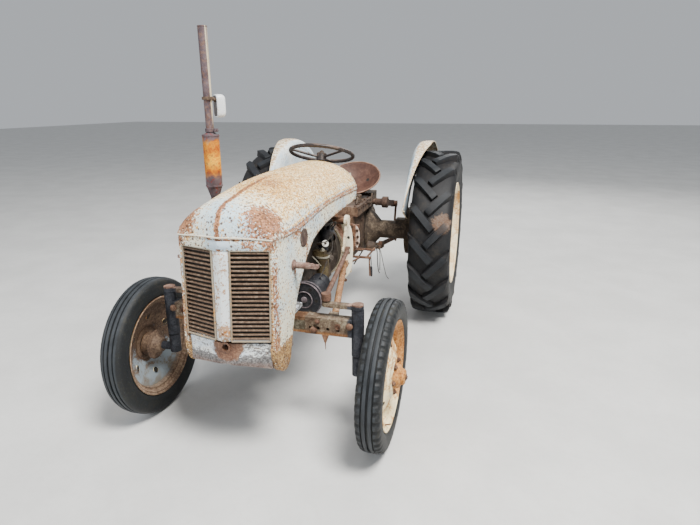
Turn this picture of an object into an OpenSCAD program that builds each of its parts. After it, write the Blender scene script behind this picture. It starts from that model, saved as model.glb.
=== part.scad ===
/* [Main layout] */
// Distance between the front and the rear axle
wheelbase = 1778; // [1778:1:1778]
// Half of the front track at the hub
front_half_track = 602; // [598:1:606]
// Half of the rear track
rear_half_track = 634; // [630:1:638]
// Place of the model's middle behind the front axle
mid_y = 1103.4; // [1103:0.1:1104]

/* [Wheels] */
// Outer radius of a front tyre
front_tyre_r = 348; // [345:0.5:350]
// Width of a front tyre
front_tyre_w = 112; // [105:1:118]
// Radius of the front rim's flange
front_rim_r = 254; // [250:1:257]
// Lean of the front wheels, top outwards
camber = 1.3; // [1:0.1:2]
// Outer radius of a rear tyre over its lugs
rear_tyre_r = 601; // [600:1:602]
// Width of a rear tyre
rear_tyre_w = 280; // [270:1:290]
// Radius of the rear rim's flange
rear_rim_r = 374; // [372:1:376]

/* [Steering] */
// Distance of the kingpins from the centre
kingpin_x = 479; // [477:1:481]
// Length of the steering arm on a kingpin
steer_arm = 150; // [149:1:151]
// Radius of the kingpin
kingpin_r = 17; // [15:0.5:18]
// Radius of the middle of the steering wheel's rim
steering_wheel_r = 190; // [186:1:194]
// Lean of the steering wheel
steering_lean = 19.5; // [19:0.5:20]

/* [Bonnet] */
// Sheet thickness of the bonnet as modelled
sheet = 4; // [3:0.5:5]
// Louvre bars in one grille
louvres = 19; // [16:1:22]
// Half spacing of the bonnet's side panels
panel_x = 209; // [208:1:211]
// Height of the bonnet's hinge pins
hinge_z = 505; // [504:1:506]
// Place of the bonnet's hinge pins before the front axle
hinge_y = -196; // [-197:1:-195]

/* [Rear linkage] */
// Height of the lift shaft
lift_z = 824; // [823:1:825]
// Place of the lift shaft
lift_y = 1700; // [1699:1:1701]
// Radius of the lift shaft
lift_r = 20; // [18:0.5:21]
// Bore radius of a lower link's rear eye
eye_r = 11.1; // [11:0.05:11.3]

/* [Hidden] */
$fn = 48;
eps = 0.05;
front_z = front_tyre_r*cos(camber) + 42*sin(camber);
rear_z = rear_tyre_r;
drop_p = [705, 892];        // drop arm's shaft: y, z
drop_b = [646, 736];        // drop arm's lower eye: y, z
drop_x = 221;               // inner face of a drop arm
arm_ball = [kingpin_x - steer_arm, 8, 697];
link_p = [205, 1750, 480];  // lower link's front pin
link_b = [252, 2030, 466];  // lift rod's lower eye
lift_a = [276, 1960, 769];  // lift arm's end
arm_x = 244;                // inner face of a lift arm
yoke_x = 251;               // middle of the lift rod's lower yoke
link_end = [337, 2538, 442];// lower link's rear eye
stack = [-290, 178];        // exhaust stack: x, y
wheel_c = [0, 966, 1240];   // steering wheel's centre

// Point on the steering column's axis, t below the wheel's centre
function down_column(t) = wheel_c - t*[0, sin(steering_lean), cos(steering_lean)];
// Shifts a piece from the front axle's frame to the model's middle
module placed() translate([0, -mid_y, 0]) children();
// The same piece on both sides of the centre plane
module both() { children(); mirror([1, 0, 0]) children(); }
// Round rod from a to b
module rod(a, b, r) {
  d = b - a; l = norm(d);
  translate(a) rotate([0, acos(d[2]/l), atan2(d[1], d[0])]) cylinder(h = l, r = r);
}
// Cylinder along X from x0 to x1
module xcyl(x0, x1, y, z, r) translate([x0, y, z]) rotate([0, 90, 0]) cylinder(h = x1 - x0, r = r);
// Cylinder along Y from y0 to y1
module ycyl(x, z, y0, y1, r) translate([x, y0, z]) rotate([-90, 0, 0]) cylinder(h = y1 - y0, r = r);
// Box from its low corner to its high corner
module span(a, b) translate(a) cube(b - a);
// Flat bar between two points of a plane x = const, thickness from x0 to x1
module xbar(x0, x1, a, b, w) {
  d = b - a; l = norm(d);
  translate([x0, a[0], a[1]]) rotate([atan2(d[1], d[0]), 0, 0])
    translate([0, 0, -w/2]) cube([x1 - x0, l, w]);
}

// Round nose of the gearbox, grown by g
module gearbox_nose(g) translate([0, 976, 668]) rotate([-90, 0, 0]) cylinder(h = 250, r1 = 150 + g, r2 = 118 + g);
// Sphere that the seat pan's outer face follows, grown by g
module seat_ball(g) translate([0, 1705, 1003]) rotate([29, 0, 0]) translate([0, 0, 133]) sphere(r = 240 + g, $fn = 96);

// ---------- engine ----------
module engine_block() color("dimgray") placed() difference() {
  union() {
    span([-120, 75, 560], [82, 700, 850]);
    span([-105, 95, 450], [78, 690, 560]);
    span([-120, 75, 700], [110, 700, 850]);
    ycyl(0, 700, 690, 759.9, 178);
    ycyl(-20, 640, 60, 75, 62);
  }
  span([-189, 40, 540], [189, 75, 640.1]);
  span([-96, 681, 861.9], [96, 765, 900]);
}
module cylinder_head() color("dimgray") placed() union() {
  span([-95, 90, 850], [95, 655, 925]);
  span([-70, 120, 925], [70, 635, 985]);
  ycyl(0, 985, 130, 625, 38);
  for (y = [160, 300, 440, 580]) translate([0, y, 0]) xcyl(95, 122, 0, 880, 10);
}
module radiator() color("darkslategray") placed() union() {
  span([-185, -118, 664], [185, -56, 950]);
  span([-190, -128, 950], [190, -46, 1025]);
  span([-190, -128, 630.1], [190, -46, 664]);
  translate([0, -87, 1020]) cylinder(h = 32, r = 30);
  rod([20, -60, 985], [20, 78, 920], 22);
}
module fan() color("saddlebrown") placed() union() {
  ycyl(0, 800, -30, 75, 20);
  ycyl(0, 800, -32, -18, 45);
  ycyl(0, 800, 20, 52, 62);
  for (a = [30 : 90 : 300]) translate([0, -18, 800]) rotate([0, a, 0])
    translate([20, -2, -28]) rotate([24, 0, 0]) cube([150, 4, 56]);
}
module dynamo() color([0.1, 0.1, 0.12]) placed() union() {
  ycyl(168, 612, 185, 400, 56);
  ycyl(168, 612, 150, 158, 86);
  ycyl(168, 612, 158, 176, 70);
  ycyl(168, 612, 176, 185, 84);
  span([82.1, 230, 590], [120, 380, 630]);
}
module oil_filter() color("darkkhaki") placed() union() {
  translate([160, 470, 596]) cylinder(h = 150, r = 34);
  translate([160, 470, 586]) cylinder(h = 10, r = 12);
  span([110.1, 448, 744], [176, 492, 775]);
}
module distributor() color([0.35, 0.3, 0.25]) placed() union() {
  translate([140, 560, 752]) cylinder(h = 90, r = 22);
  span([110.1, 548, 765], [125, 572, 800]);
  rod([148, 560, 838], [166, 560, 878], 38);
  ycyl(160, 815, 612, 640, 30);
  span([110.1, 618, 805], [160, 634, 825]);
}
module manifold() color("sienna") placed() union() {
  span([-178, 200, 770], [-132, 620, 818]);
  for (y = [225, 365, 455, 595]) span([-134, y - 22, 774], [-120.2, y + 22, 814]);
  rod([-160, 380, 775], [-160, 380, 690], 26);
  span([-200, 340, 610], [-132, 425, 690]);
  translate([-230, 400, 640]) cylinder(h = 60, r = 24);
  span([-215, 385, 650], [-195, 415, 680]);
}
module exhaust_stack() color([0.35, 0.27, 0.27]) placed() union() {
  difference() {
    rod([-170, 218, 802], [-262, 182, 802], 23);
    span([-178.1, 190, 760], [-100, 640, 830]);
  }
  translate([stack[0] + 24, stack[1] + 4, 802]) sphere(r = 30);
  rod([stack[0] + 20, stack[1] + 3, 806], [stack[0], stack[1], 870], 23);
  translate([stack[0], stack[1], 866]) cylinder(h = 240, r = 21);
  translate([stack[0], stack[1], 1100]) cylinder(h = 52, r1 = 22, r2 = 39);
  translate([stack[0], stack[1], 1152]) cylinder(h = 238, r = 39);
  translate([stack[0], stack[1], 1390]) cylinder(h = 12, r1 = 39, r2 = 20);
  difference() {
    translate([stack[0], stack[1], 1400]) cylinder(h = 468, r1 = 18.5, r2 = 21.5);
    translate([stack[0], stack[1], 1600]) cylinder(h = 280, r = 17);
  }
}
module mirror_head() color("gainsboro") placed() union() {
  difference() {
    translate([stack[0], stack[1], 1550]) cylinder(h = 14, r = 26);
    translate([stack[0], stack[1], 1540]) cylinder(h = 34, r = 20);
  }
  rod([stack[0] + 2, stack[1] + 24, 1557], [-286, 260, 1536], 6);
  translate([-290, 284, 1523]) rotate([90, 0, 0]) linear_extrude(28) offset(r = 20) square([42, 68], center = true);
}
module fuel_tank() color("slategray") placed() union() {
  span([-165, 300, 1030], [165, 825, 1100]);
  ycyl(-95, 1075, 300, 825, 60); ycyl(95, 1075, 300, 825, 60);
  span([-95, 300, 1075], [95, 825, 1135]);
  for (x = [-140, 110]) span([x, 310, 925.2], [x + 30, 340, 1030]);
  span([-60, 800, 985.2], [60, 830, 1030]);
}
module instrument_panel() color("peru") placed() union() {
  difference() {
    union() {
      span([-205, 880, 970], [205, 886, 1140]);
      span([-205, 838, 990], [-199, 880, 1090]);
      span([199, 838, 990], [205, 880, 1090]);
      span([-120, 780, 968.1], [120, 886, 976]);
    }
    rod(down_column(0), down_column(320), 24);
  }
  for (x = [-135, -78, 78, 135]) ycyl(x, 1080, 872, 892, 24);
}
module steering_column() color("sienna") placed() union() {
  span([-95, 682, 862], [95, 900, 950]);
  rod(down_column(330), down_column(46), 19);
  rod(down_column(50), down_column(20), 10);
  xcyl(-219, 219, drop_p[0], drop_p[1], 19);
  translate([0, 800, 940]) cylinder(h = 28, r = 40);
}

// ---------- gearbox and rear axle ----------
module clutch_housing() color("wheat") placed() union() {
  difference() {
    union() {
      ycyl(0, 700, 760, 782, 188);
      translate([0, 782, 700]) rotate([-90, 0, 0]) cylinder(h = 176, r1 = 172, r2 = 140);
      ycyl(0, 690, 952, 976, 165);
      span([-90, 790, 800], [90, 958, 861.9]);
      both() span([120, 760, 566], [238, 780, 742]);
    }
    span([-200, 700, 400], [200, 1000, 518]);
    span([-96, 681, 861.9], [96, 901, 900]);
  }
}
module transmission() color("saddlebrown") placed() difference() {
  union() {
    translate([0, 976, 668]) rotate([-90, 0, 0]) cylinder(h = 250, r1 = 150, r2 = 118);
    span([-118, 976, 560], [118, 1560, 800]);
    span([-100, 976, 500], [100, 1560, 560]);
    span([-150, 1250, 800], [150, 1745, 862]);
    translate([0, 1100, 795]) cylinder(h = 60, r = 55);
  }
  translate([0, 1100, 850]) cylinder(h = 20, r = 11);
  xcyl(-160, 160, lift_y, lift_z, lift_r + eps);
}
module rear_axle_centre() color([0.32, 0.26, 0.22]) placed() union() {
  span([-105, 1560, 470], [105, 1930, 790]);
  xcyl(-112, 112, wheelbase, rear_z, 165);
  span([-120, 1560, 780], [120, 1930, 800]);
  span([-135, 1745.2, 800], [135, 1900, 880]);
  both() xcyl(112, 124, wheelbase, rear_z, 172);
  both() { span([100, 1722, 452], [152, 1778, 510]); xcyl(150, 190, link_p[1], link_p[2], 17); }
  both() xcyl(188, 228, link_p[1], link_p[2], 14.2);
  both() xcyl(221, 230, link_p[1], link_p[2], 20);
}
module axle_trumpets() color([0.36, 0.29, 0.24]) placed() both() {
  difference() {
    translate([124.1, wheelbase, rear_z]) rotate([0, 90, 0]) cylinder(h = 72, r1 = 150, r2 = 69.5);
    span([100, 1714, 440], [210, 1786, 516]);
  }
  xcyl(196, 408, wheelbase, rear_z, 69);
  xcyl(406, 418, wheelbase, rear_z, 176);
  xcyl(418, 466, wheelbase, rear_z, 168);
  xcyl(466, 560, wheelbase, rear_z, 34);
  span([320, wheelbase - 45, 650], [400, wheelbase + 45, 690]);
}
module seat_spring() color("sienna") placed() difference() {
  union() {
    span([-45, 1500, 862.1], [45, 1600, 876]);
    translate([-30, 1520, 868]) rotate([2.5, 0, 0]) cube([60, 215, 12]);
  }
  seat_ball(0.4);
}
// Pan seat: a bowl of revolution tipped forwards
module seat_pan() color([0.45, 0.25, 0.2]) placed()
  translate([0, 1705, 1003]) rotate([29, 0, 0]) difference() {
    rotate_extrude() difference() {
      intersection() { translate([0, 133]) circle(r = 240, $fn = 96); translate([0, -130]) square([204, 130]); }
      translate([0, 138]) circle(r = 240, $fn = 96);
    }
    for (a = [40, 140, 220, 320]) rotate([0, 0, a]) translate([110, 0, -120]) cylinder(h = 100, r = 14);
  }
// Fender: a thin arc about the wheel's axle, crossing from an inner plate to a narrow flange
module fender() {
  r_o = 668; x_in = 462;
  difference() {
    translate([0, wheelbase, rear_z]) rotate([90, 0, 90])
      rotate([0, 0, 8]) rotate_extrude(angle = 148, $fn = 96)
        polygon([[430, x_in], [615, x_in], [643, x_in + 9], [662, x_in + 28], [r_o, x_in + 55], [r_o, x_in + 110],
                 [r_o - 4, x_in + 110], [r_o - 4, x_in + 56], [r_o - 8, x_in + 31], [640, x_in + 14], [614, x_in + 5], [430, x_in + 5]]);
    // the flange narrows towards the front end
    translate([0, 0, 700]) linear_extrude(700)
      polygon([[x_in + 112, 1662], [x_in + 6, 1195], [x_in + 6, 1000], [x_in + 300, 1000], [x_in + 300, 1662]]);
    xcyl(x_in - 20, x_in + 20, 1560, 1110, 7);
  }
}
module fender_left() color("lightsteelblue") placed() union() {
  fender();
  span([466.2, wheelbase + 190, 700], [474, wheelbase + 240, 1160]);
  span([466.2, wheelbase - 60, 735], [474, wheelbase + 240, 790]);
}
module fender_right() mirror([1, 0, 0]) fender_left();

// ---------- front frame ----------
module front_axle_bracket() color("silver") placed() difference() {
  union() {
    // apron, a shallow V in plan
    translate([0, 0, 461]) linear_extrude(123)
      polygon([[-188, -296], [-30, -337], [30, -337], [188, -296], [188, -276], [28, -317], [-28, -317], [-188, -276]]);
    both() span([168, -292, 471], [188, -60, 588]);
    both() span([168, -200, 471], [188, -60, 614]);
    span([-188, -150, 612], [188, 72, 630]);
    span([-60, -66, 505], [60, -42, 613]);
    span([-60, 42, 505], [60, 66, 613]);
    span([-75, 60, 560], [75, 74.9, 640]);
    ycyl(0, 566, -341, -300, 24);
    ycyl(0, 563, -66, 66, 16);
    both() xcyl(186, 214, hinge_y, hinge_z, 9);
  }
  ycyl(0, 566, -360, -290, 15);
  // lower edge, higher in the middle
  both() translate([-1, -400, 489]) rotate([0, 5.5, 0]) translate([-10, 0, -60]) cube([240, 160, 60]);
}
module axle_beam() color("sienna") placed() difference() {
  union() {
    span([-237, -30, 525], [237, -22, 602]);
    span([-237, 22, 525], [237, 30, 602]);
    span([-237, -24, 592], [237, 24, 602]);
    span([-237, -24, 525], [237, 24, 535]);
    ycyl(0, 563, -38, 38, 30);
  }
  ycyl(0, 563, -50, 50, 16 + eps);
}
module axle_arms() color("saddlebrown") placed() both() difference() {
  union() {
    span([237.1, -30, 523], [457, 30, 604]);
    translate([kingpin_x, 0, 428]) cylinder(h = 221, r = 29);
    span([330, 28, 580], [372, 62, 604]);
  }
  translate([kingpin_x, 0, 400]) cylinder(h = 260, r = kingpin_r + eps);
  for (x = [262, 300, 345, 395]) ycyl(x, 553, -40, 40, 8);
}
module radius_rods() color("sienna") placed() both() {
  rod([351, 74, 594], [215, 694, 634], 17);
  span([338, 62.1, 580], [364, 84, 606]);
  translate([215, 700, 634]) sphere(r = 24);
  span([206, 700, 622], [224, 759.9, 646]);
}
module footrest_rods() color([0.25, 0.18, 0.15]) placed() both() {
  difference() {
    span([112, 1000, 586], [300, 1024, 596]);
    gearbox_nose(0.1);
    span([0, 970, 560], [118.1, 1560, 800]);
  }
  span([118.1, 1190, 586], [285, 1210, 596]);
  span([276, 1000, 596], [284, 1210, 606]);
  rod([290, 1012, 588], [294, 1012, 470], 5);
  rod([230, 1012, 590], [150, 950, 548], 6);
}
module pedals() color([0.25, 0.18, 0.15]) placed() both() {
  difference() {
    xcyl(112, 190, 1130, 640, 14);
    gearbox_nose(0.1);
    span([0, 1100, 600], [118.1, 1160, 680]);
  }
  xbar(168, 182, [1128, 640], [985, 800], 24);
  span([150, 960, 790], [235, 980, 812]);
}
module gear_lever() color([0.3, 0.3, 0.32]) placed() union() {
  rod([0, 1100, 860], [10, 1070, 1134], 7);
  translate([10, 1070, 1116]) rotate_extrude() polygon([[0, 0], [12, 0], [18, 8], [19, 22], [13, 34], [0, 38]]);
  translate([0, 1100, 855.1]) cylinder(h = 20, r = 26);
}
module drawbar() color("saddlebrown") placed() difference() {
  union() {
    span([-40, 1600, 440], [40, 1655, 469.8]);
    span([-26, 1560, 414], [26, 2330, 440]);
    translate([0, 2330, 414]) cylinder(h = 26, r = 26);
    both() rod([60, 1900, 469.8], [20, 2200, 434], 9);
    both() span([48, 1880, 455], [76, 1915, 469.9]);
  }
  translate([0, 2330, 400]) cylinder(h = 60, r = 13);
  xcyl(-130, 130, wheelbase, rear_z, 165.1);
  span([-130, 1550, 469.9], [130, 1930.1, 500]);
}
module pto_shaft() color("gray") placed() union() {
  difference() {
    ycyl(0, 560, 1930.1, 1955, 55);
    xcyl(-113, 113, wheelbase, rear_z, 165.1);
  }
  ycyl(0, 560, 1955, 2040, 14.3);
}
module top_link_bracket() color("sienna") placed() difference() {
  union() {
    both() span([22, 1900.1, 800], [40, 1990, 900]);
    both() xcyl(22, 40, 1965, 900, 26);
    span([-40, 1900.1, 800], [40, 1916, 870]);
  }
  xcyl(-60, 60, 1965, 900, 9.65);
}

// ---------- bonnet ----------
// columns: crown y, crown z, side y, side z, half width, lower edge y, z and half width
bonnet_sections = [
  [-336, 983, -284, 983, 205, -303, 598, 207],
  [-340, 1034, -282, 1022, 208, -302, 560, 208],
  [-332, 1080, -276, 1023, 211, -297, 512, 209],
  [-310, 1126, -258, 1022, 215, -268, 455, 211],
  [-262, 1150, -222, 1018, 218, -210, 432, 212],
  [-215, 1159, -190, 1015, 219, -162, 464, 213],
  [-175, 1166, -160, 1013, 220, -142, 540, 214],
  [-60, 1184, -60, 1011, 223, -72, 710, 217],
  [50, 1196, 50, 1022, 226, 39, 842, 220],
  [110, 1201, 110, 1030, 228, 106, 894, 221],
  [177, 1204, 177, 1038, 229, 184, 934, 222],
  [366, 1210, 366, 1054, 233, 366, 967, 226],
  [620, 1212, 620, 1052, 238, 620, 984, 231],
  [829, 1211, 870, 1046, 242, 878, 992, 235]];
arc_n = 9;
// one half section: from the crown to the bead, then down to the lower edge
function half(s) = concat(
  [for (k = [0 : arc_n]) let (t = 90*k/arc_n, x = s[4]*sin(t))
    [x, s[2] + (s[0] - s[2])*(1 - sin(t)), s[3] + (s[1] - s[3])*cos(t)]],
  [[s[7], s[5], s[6]]]);
function row(s) = let (h = half(s), n = len(h)) concat(
  [for (k = [n - 1 : -1 : 1]) [-h[k][0], h[k][1], h[k][2]]], h);
module sheet_loft(sec, t) {
  n = len(sec); m = len(row(sec[0]));
  outer = [for (s = sec) each row(s)];
  inner = [for (i = [0 : n - 1]) let (s = sec[i], q = row([s[0] + (i < 4 ? t : 0), s[1] - (i > 0 ? t : 0),
    s[2] + (i < 4 ? t : 0), s[3] - (i > 0 ? 0.5 : 0), s[4] - t, s[5], s[6], s[7] - t])) each q];
  nm = n*m;
  quads = [for (i = [0 : n - 2], k = [0 : m - 2])
    let (a = i*m + k) each [[a, a + 1, a + m + 1], [a, a + m + 1, a + m],
      [nm + a, nm + a + m + 1, nm + a + 1], [nm + a, nm + a + m, nm + a + m + 1]]];
  ends = [for (k = [0 : m - 2]) let (b = (n - 1)*m + k)
    each [[k, nm + k, nm + k + 1], [k, nm + k + 1, k + 1], [b, nm + b + 1, nm + b], [b, b + 1, nm + b + 1]]];
  sides = [for (i = [0 : n - 2]) let (a = i*m, b = i*m + m - 1)
    each [[a, nm + a + m, nm + a], [a, a + m, nm + a + m], [b, nm + b, nm + b + m], [b, nm + b + m, b + m]]];
  polyhedron(points = concat(outer, inner), faces = [for (f = concat(quads, ends, sides)) [f[2], f[1], f[0]]], convexity = 8);
}
module bonnet_shell() color("tan") placed() difference() {
  union() {
    sheet_loft(bonnet_sections, sheet);
    // hinge ears
    both() xcyl(panel_x - 6, panel_x + 7, hinge_y, hinge_z, 33);
    // corner pillars beside the grilles, and the foot's front edge below them
    both() xbar(199.5, 205.5, [-279, 995], [-296, 605], 6);
    both() xbar(194, 206.5, [-295, 606], [-295, 522], 6);
    // creased strip between the grilles
    translate([0, -328, 980]) rotate([180 - 3.5, 0, 0]) linear_extrude(380)
      polygon([[-31, -2], [0, 8], [31, -2], [31, -8], [0, 2], [-31, -8]]);
    span([-12, -331, 958], [12, -322, 1000]);
  }
  both() xcyl(panel_x - 20, panel_x + 20, hinge_y, hinge_z, 9 + eps);
}
// grille: bars between an inner and an outer upright, each side leaning in its own plane
grille_top = [[40, -322, 977], [194.5, -280, 977]];
grille_bot = [[36, -346, 602], [190.5, -305, 602]];
function mix(a, b, t) = a + (b - a)*t;
module grille() {
  ang = atan2(grille_top[1][1] - grille_top[0][1], grille_top[1][0] - grille_top[0][0]);
  for (k = [0 : louvres - 1]) let (t = (k + 0.5)/louvres, p = mix(grille_top[0], grille_bot[0], t))
    translate(p) rotate([0, 0, ang]) translate([0, -1, -4]) cube([158, 8, 8]);
  for (e = [0, 1]) let (p = grille_top[e], q = grille_bot[e])
    rod(p + [0, 3, 0], q + [0, 3, 0], 3);
  for (p = [grille_top[0], grille_bot[0] + [0, 0, 2]])
    translate(p) rotate([0, 0, ang]) translate([0, 0, -3]) cube([158, 6, 5]);
}
module grilles() color("sienna") placed() both() grille();
module lamp_brackets() color([0.55, 0.35, 0.3]) placed() both() difference() {
  union() {
    xcyl(221.5, 294, -106, 872, 13);
    span([290, -119, 865], [334, -93, 879]);
    xcyl(221.5, 226, -106, 872, 24);
  }
  translate([318, -106, 850]) cylinder(h = 40, r = 6.5);
}

// ---------- front wheels and steering ----------
// Places a child, drawn along its own +X axle, on the left stub axle
module on_stub() translate([kingpin_x, 0, front_z + (front_half_track - kingpin_x)*sin(camber)]) rotate([0, camber, 0]) children();
module spindle() {
  difference() {
    union() {
      translate([kingpin_x, 0, 372]) cylinder(h = 302, r = kingpin_r);
      translate([kingpin_x, 0, 330]) cylinder(h = 93, r = 27);
      translate([0, 0, 652]) span([arm_ball[0] - 2, -14, 0], [kingpin_x, 18, 20]);
      translate([kingpin_x, 0, 652]) cylinder(h = 26, r = 27);
      translate([arm_ball[0], arm_ball[1], 652]) cylinder(h = 20, r = 20);
      on_stub() rotate([0, 90, 0]) cylinder(h = 196, r = 20);
    }
  }
  translate([arm_ball[0], arm_ball[1], 671]) cylinder(h = 8, r = 9);
}
module spindle_left() color([0.2, 0.2, 0.24]) placed() spindle();
module spindle_right() color([0.2, 0.2, 0.24]) placed() mirror([1, 0, 0]) spindle();
hub_x = front_half_track - kingpin_x;
module front_tyre() on_stub() translate([hub_x, 0, 0]) rotate([0, 90, 0]) rotate_extrude($fn = 96) {
  r = front_tyre_r; w = front_tyre_w/2; f = front_rim_r;
  polygon([[f - 14, -37], [f + 1, -38.8], [f + 7, -44], [f + 30, -w], [f + 62, -w], [r - 16, -w + 6], [r - 2, -w + 20], [r, -20], [r, 20],
    [r - 2, w - 20], [r - 16, w - 6], [f + 62, w], [f + 30, w], [f + 7, 44], [f + 1, 38.8], [f - 14, 37],
    [f - 12, 30], [f + 10, 34], [f + 32, w - 10], [f + 60, w - 10], [r - 22, w - 18], [r - 14, 20],
    [r - 14, -20], [r - 22, -w + 18], [f + 60, -w + 10], [f + 32, -w + 10], [f + 10, -34], [f - 12, -30]]);
}
module front_rim() on_stub() translate([hub_x, 0, 0]) rotate([0, 90, 0]) difference() {
  union() {
    rotate_extrude($fn = 96) {
      f = front_rim_r;
      polygon([[f, -45], [f, -39.6], [f - 15, -37.6], [f - 15, -28], [f - 34, -20], [f - 34, 20], [f - 15, 28], [f - 15, 37.6], [f, 39.6], [f, 45],
        [f - 20, 43], [f - 20, 32], [f - 40, 24], [f - 40, 4], [175, 11], [105, 41], [75, 54], [56, 54], [52, 72], [36, 84], [0, 84], [0, -50],
        [34, -50], [44, -20], [56, 38], [72, 44], [100, 31], [172, 1], [f - 40, -4], [f - 40, -24], [f - 20, -32], [f - 20, -43]]);
    }
  }
  translate([0, 0, -60]) cylinder(h = 136, r = 20 + eps);
  for (a = [0 : 60 : 300]) rotate([0, 0, a + 30]) translate([150, 0, -20]) cylinder(h = 80, r = 15);
}
module front_tyre_left() color([0.12, 0.12, 0.13]) placed() front_tyre();
module front_tyre_right() color([0.12, 0.12, 0.13]) placed() mirror([1, 0, 0]) front_tyre();
module front_rim_left() color("burlywood") placed() front_rim();
module front_rim_right() color("burlywood") placed() mirror([1, 0, 0]) front_rim();

module rear_tyre() translate([rear_half_track, wheelbase, rear_z]) rotate([0, 90, 0]) rotate_extrude($fn = 128) {
  r = rear_tyre_r; w = rear_tyre_w/2; f = rear_rim_r;
  polygon([[f - 16, -116], [f + 1, -118], [f + 8, -128], [f + 60, -w], [f + 120, -w], [r - 32, -w + 4], [r - 8, -w + 20], [r, -70], [r, 70],
    [r - 8, w - 20], [r - 32, w - 4], [f + 120, w], [f + 60, w], [f + 8, 128], [f + 1, 118], [f - 16, 116],
    [f - 14, 104], [f + 10, 112], [f + 60, w - 18], [f + 120, w - 18], [r - 60, w - 26], [r - 46, 60],
    [r - 46, -60], [r - 60, -w + 26], [f + 120, -w + 18], [f + 60, -w + 18], [f + 10, -112], [f - 14, -104]]);
}
module rear_rim() translate([rear_half_track, wheelbase, rear_z]) rotate([0, 90, 0]) difference() {
  union() {
    rotate_extrude($fn = 128) {
      f = rear_rim_r;
      polygon([[f, -128.2], [f, -119.4], [f - 17, -117.4], [f - 17, -100], [f - 44, -70], [f - 44, 70], [f - 17, 100], [f - 17, 117.4], [f, 119.4], [f, 128.2],
        [f - 24, 126], [f - 24, 96], [f - 51, 66], [f - 51, -66], [f - 24, -96], [f - 24, -126]]);
      polygon([[0, -66], [110, -66], [150, -50], [210, -10], [300, 20], [330, 24], [330, 32], [298, 28], [206, -1], [146, -41], [108, -57], [0, -57]]);
      polygon([[0, -100], [52, -100], [60, -60], [0, -60]]);
      polygon([[0, -58], [72, -58], [66, -22], [0, -22]]);
    }
    for (a = [0 : 60 : 300]) rotate([0, 0, a]) span([290, -28, 12], [331, 28, 34]);
  }
  translate([0, 0, -110]) cylinder(h = 41, r = 34 + eps);
}
module rear_tyre_left() color([0.12, 0.12, 0.13]) placed() rear_tyre();
module rear_tyre_right() color([0.12, 0.12, 0.13]) placed() mirror([1, 0, 0]) rear_tyre();
module rear_rim_left() color("gainsboro") placed() rear_rim();
module rear_rim_right() color("gainsboro") placed() mirror([1, 0, 0]) rear_rim();

module steering_wheel() color([0.2, 0.19, 0.18]) placed() translate(wheel_c) rotate([-steering_lean, 0, 0]) union() {
  rotate_extrude($fn = 96) translate([steering_wheel_r, 0]) circle(r = 11, $fn = 32);
  difference() {
    translate([0, 0, -44]) cylinder(h = 40, r = 30);
    translate([0, 0, -60]) cylinder(h = 42, r = 10 + eps);
  }
  for (a = [90, 210, 330]) rod([20*cos(a), 20*sin(a), -22], [(steering_wheel_r - 6)*cos(a), (steering_wheel_r - 6)*sin(a), -1], 7);
}
module drop_arm() difference() {
  union() {
    xbar(drop_x + 2, drop_x + 14, drop_p, drop_b, 30);
    xcyl(drop_x, drop_x + 18, drop_p[0], drop_p[1], 34);
    xcyl(drop_x + 2, drop_x + 14, drop_b[0], drop_b[1], 21);
    xcyl(drop_x + 12, drop_x + 40, drop_b[0], drop_b[1], 9);
  }
}
module drop_arm_left() color("sienna") placed() drop_arm();
module drop_arm_right() color("sienna") placed() mirror([1, 0, 0]) drop_arm();
module drag_link() difference() {
  union() {
    rod([arm_ball[0] - 3, 26, arm_ball[2] + 1], [drop_x + 30, drop_b[0] - 14, drop_b[1] - 1], 12);
    translate([arm_ball[0], arm_ball[1], arm_ball[2] - 16]) cylinder(h = 32, r = 23);
    xcyl(drop_x + 18, drop_x + 40, drop_b[0], drop_b[1], 22);
  }
  xcyl(drop_x + 10, drop_x + 50, drop_b[0], drop_b[1], 9 + eps);
}
module drag_link_left() color("sienna") placed() drag_link();
module drag_link_right() color("sienna") placed() mirror([1, 0, 0]) drag_link();

// ---------- rear linkage ----------
module lift_arms() color("saddlebrown") placed() union() {
  xcyl(-250, 250, lift_y, lift_z, lift_r);
  both() difference() {
    union() {
      xcyl(226, 266, lift_y, lift_z, 42);
      xbar(arm_x, arm_x + 18, [lift_y, lift_z], [lift_a[1], lift_a[2]], 46);
      xcyl(arm_x - 2, arm_x + 20, lift_a[1], lift_a[2], 27);
    }
    xcyl(arm_x - 20, arm_x + 40, lift_a[1], lift_a[2], 10 + eps);
  }
}
module lift_rod() union() {
  difference() {
    union() {
      xcyl(arm_x + 23, arm_x + 45, lift_a[1], lift_a[2], 24);
      rod([278, lift_a[1] + 4, lift_a[2] - 14], [yoke_x + 3, link_b[1] - 4, link_b[2] + 44], 9);
      for (e = [-1, 1]) {
        xcyl(yoke_x + e*19 - 6, yoke_x + e*19 + 6, link_b[1], link_b[2], 22);
        span([yoke_x + e*19 - 6, link_b[1] - 14, link_b[2] + 4], [yoke_x + e*19 + 6, link_b[1] + 14, link_b[2] + 40]);
      }
      span([yoke_x - 25, link_b[1] - 17, link_b[2] + 32], [yoke_x + 25, link_b[1] + 17, link_b[2] + 52]);
    }
    xcyl(yoke_x - 40, yoke_x + 40, link_b[1], link_b[2], 11);
  }
  xcyl(arm_x - 3, arm_x + 34, lift_a[1], lift_a[2], 10);
}
module lift_rod_left() color("sienna") placed() lift_rod();
module lift_rod_right() color("sienna") placed() mirror([1, 0, 0]) lift_rod();
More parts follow.
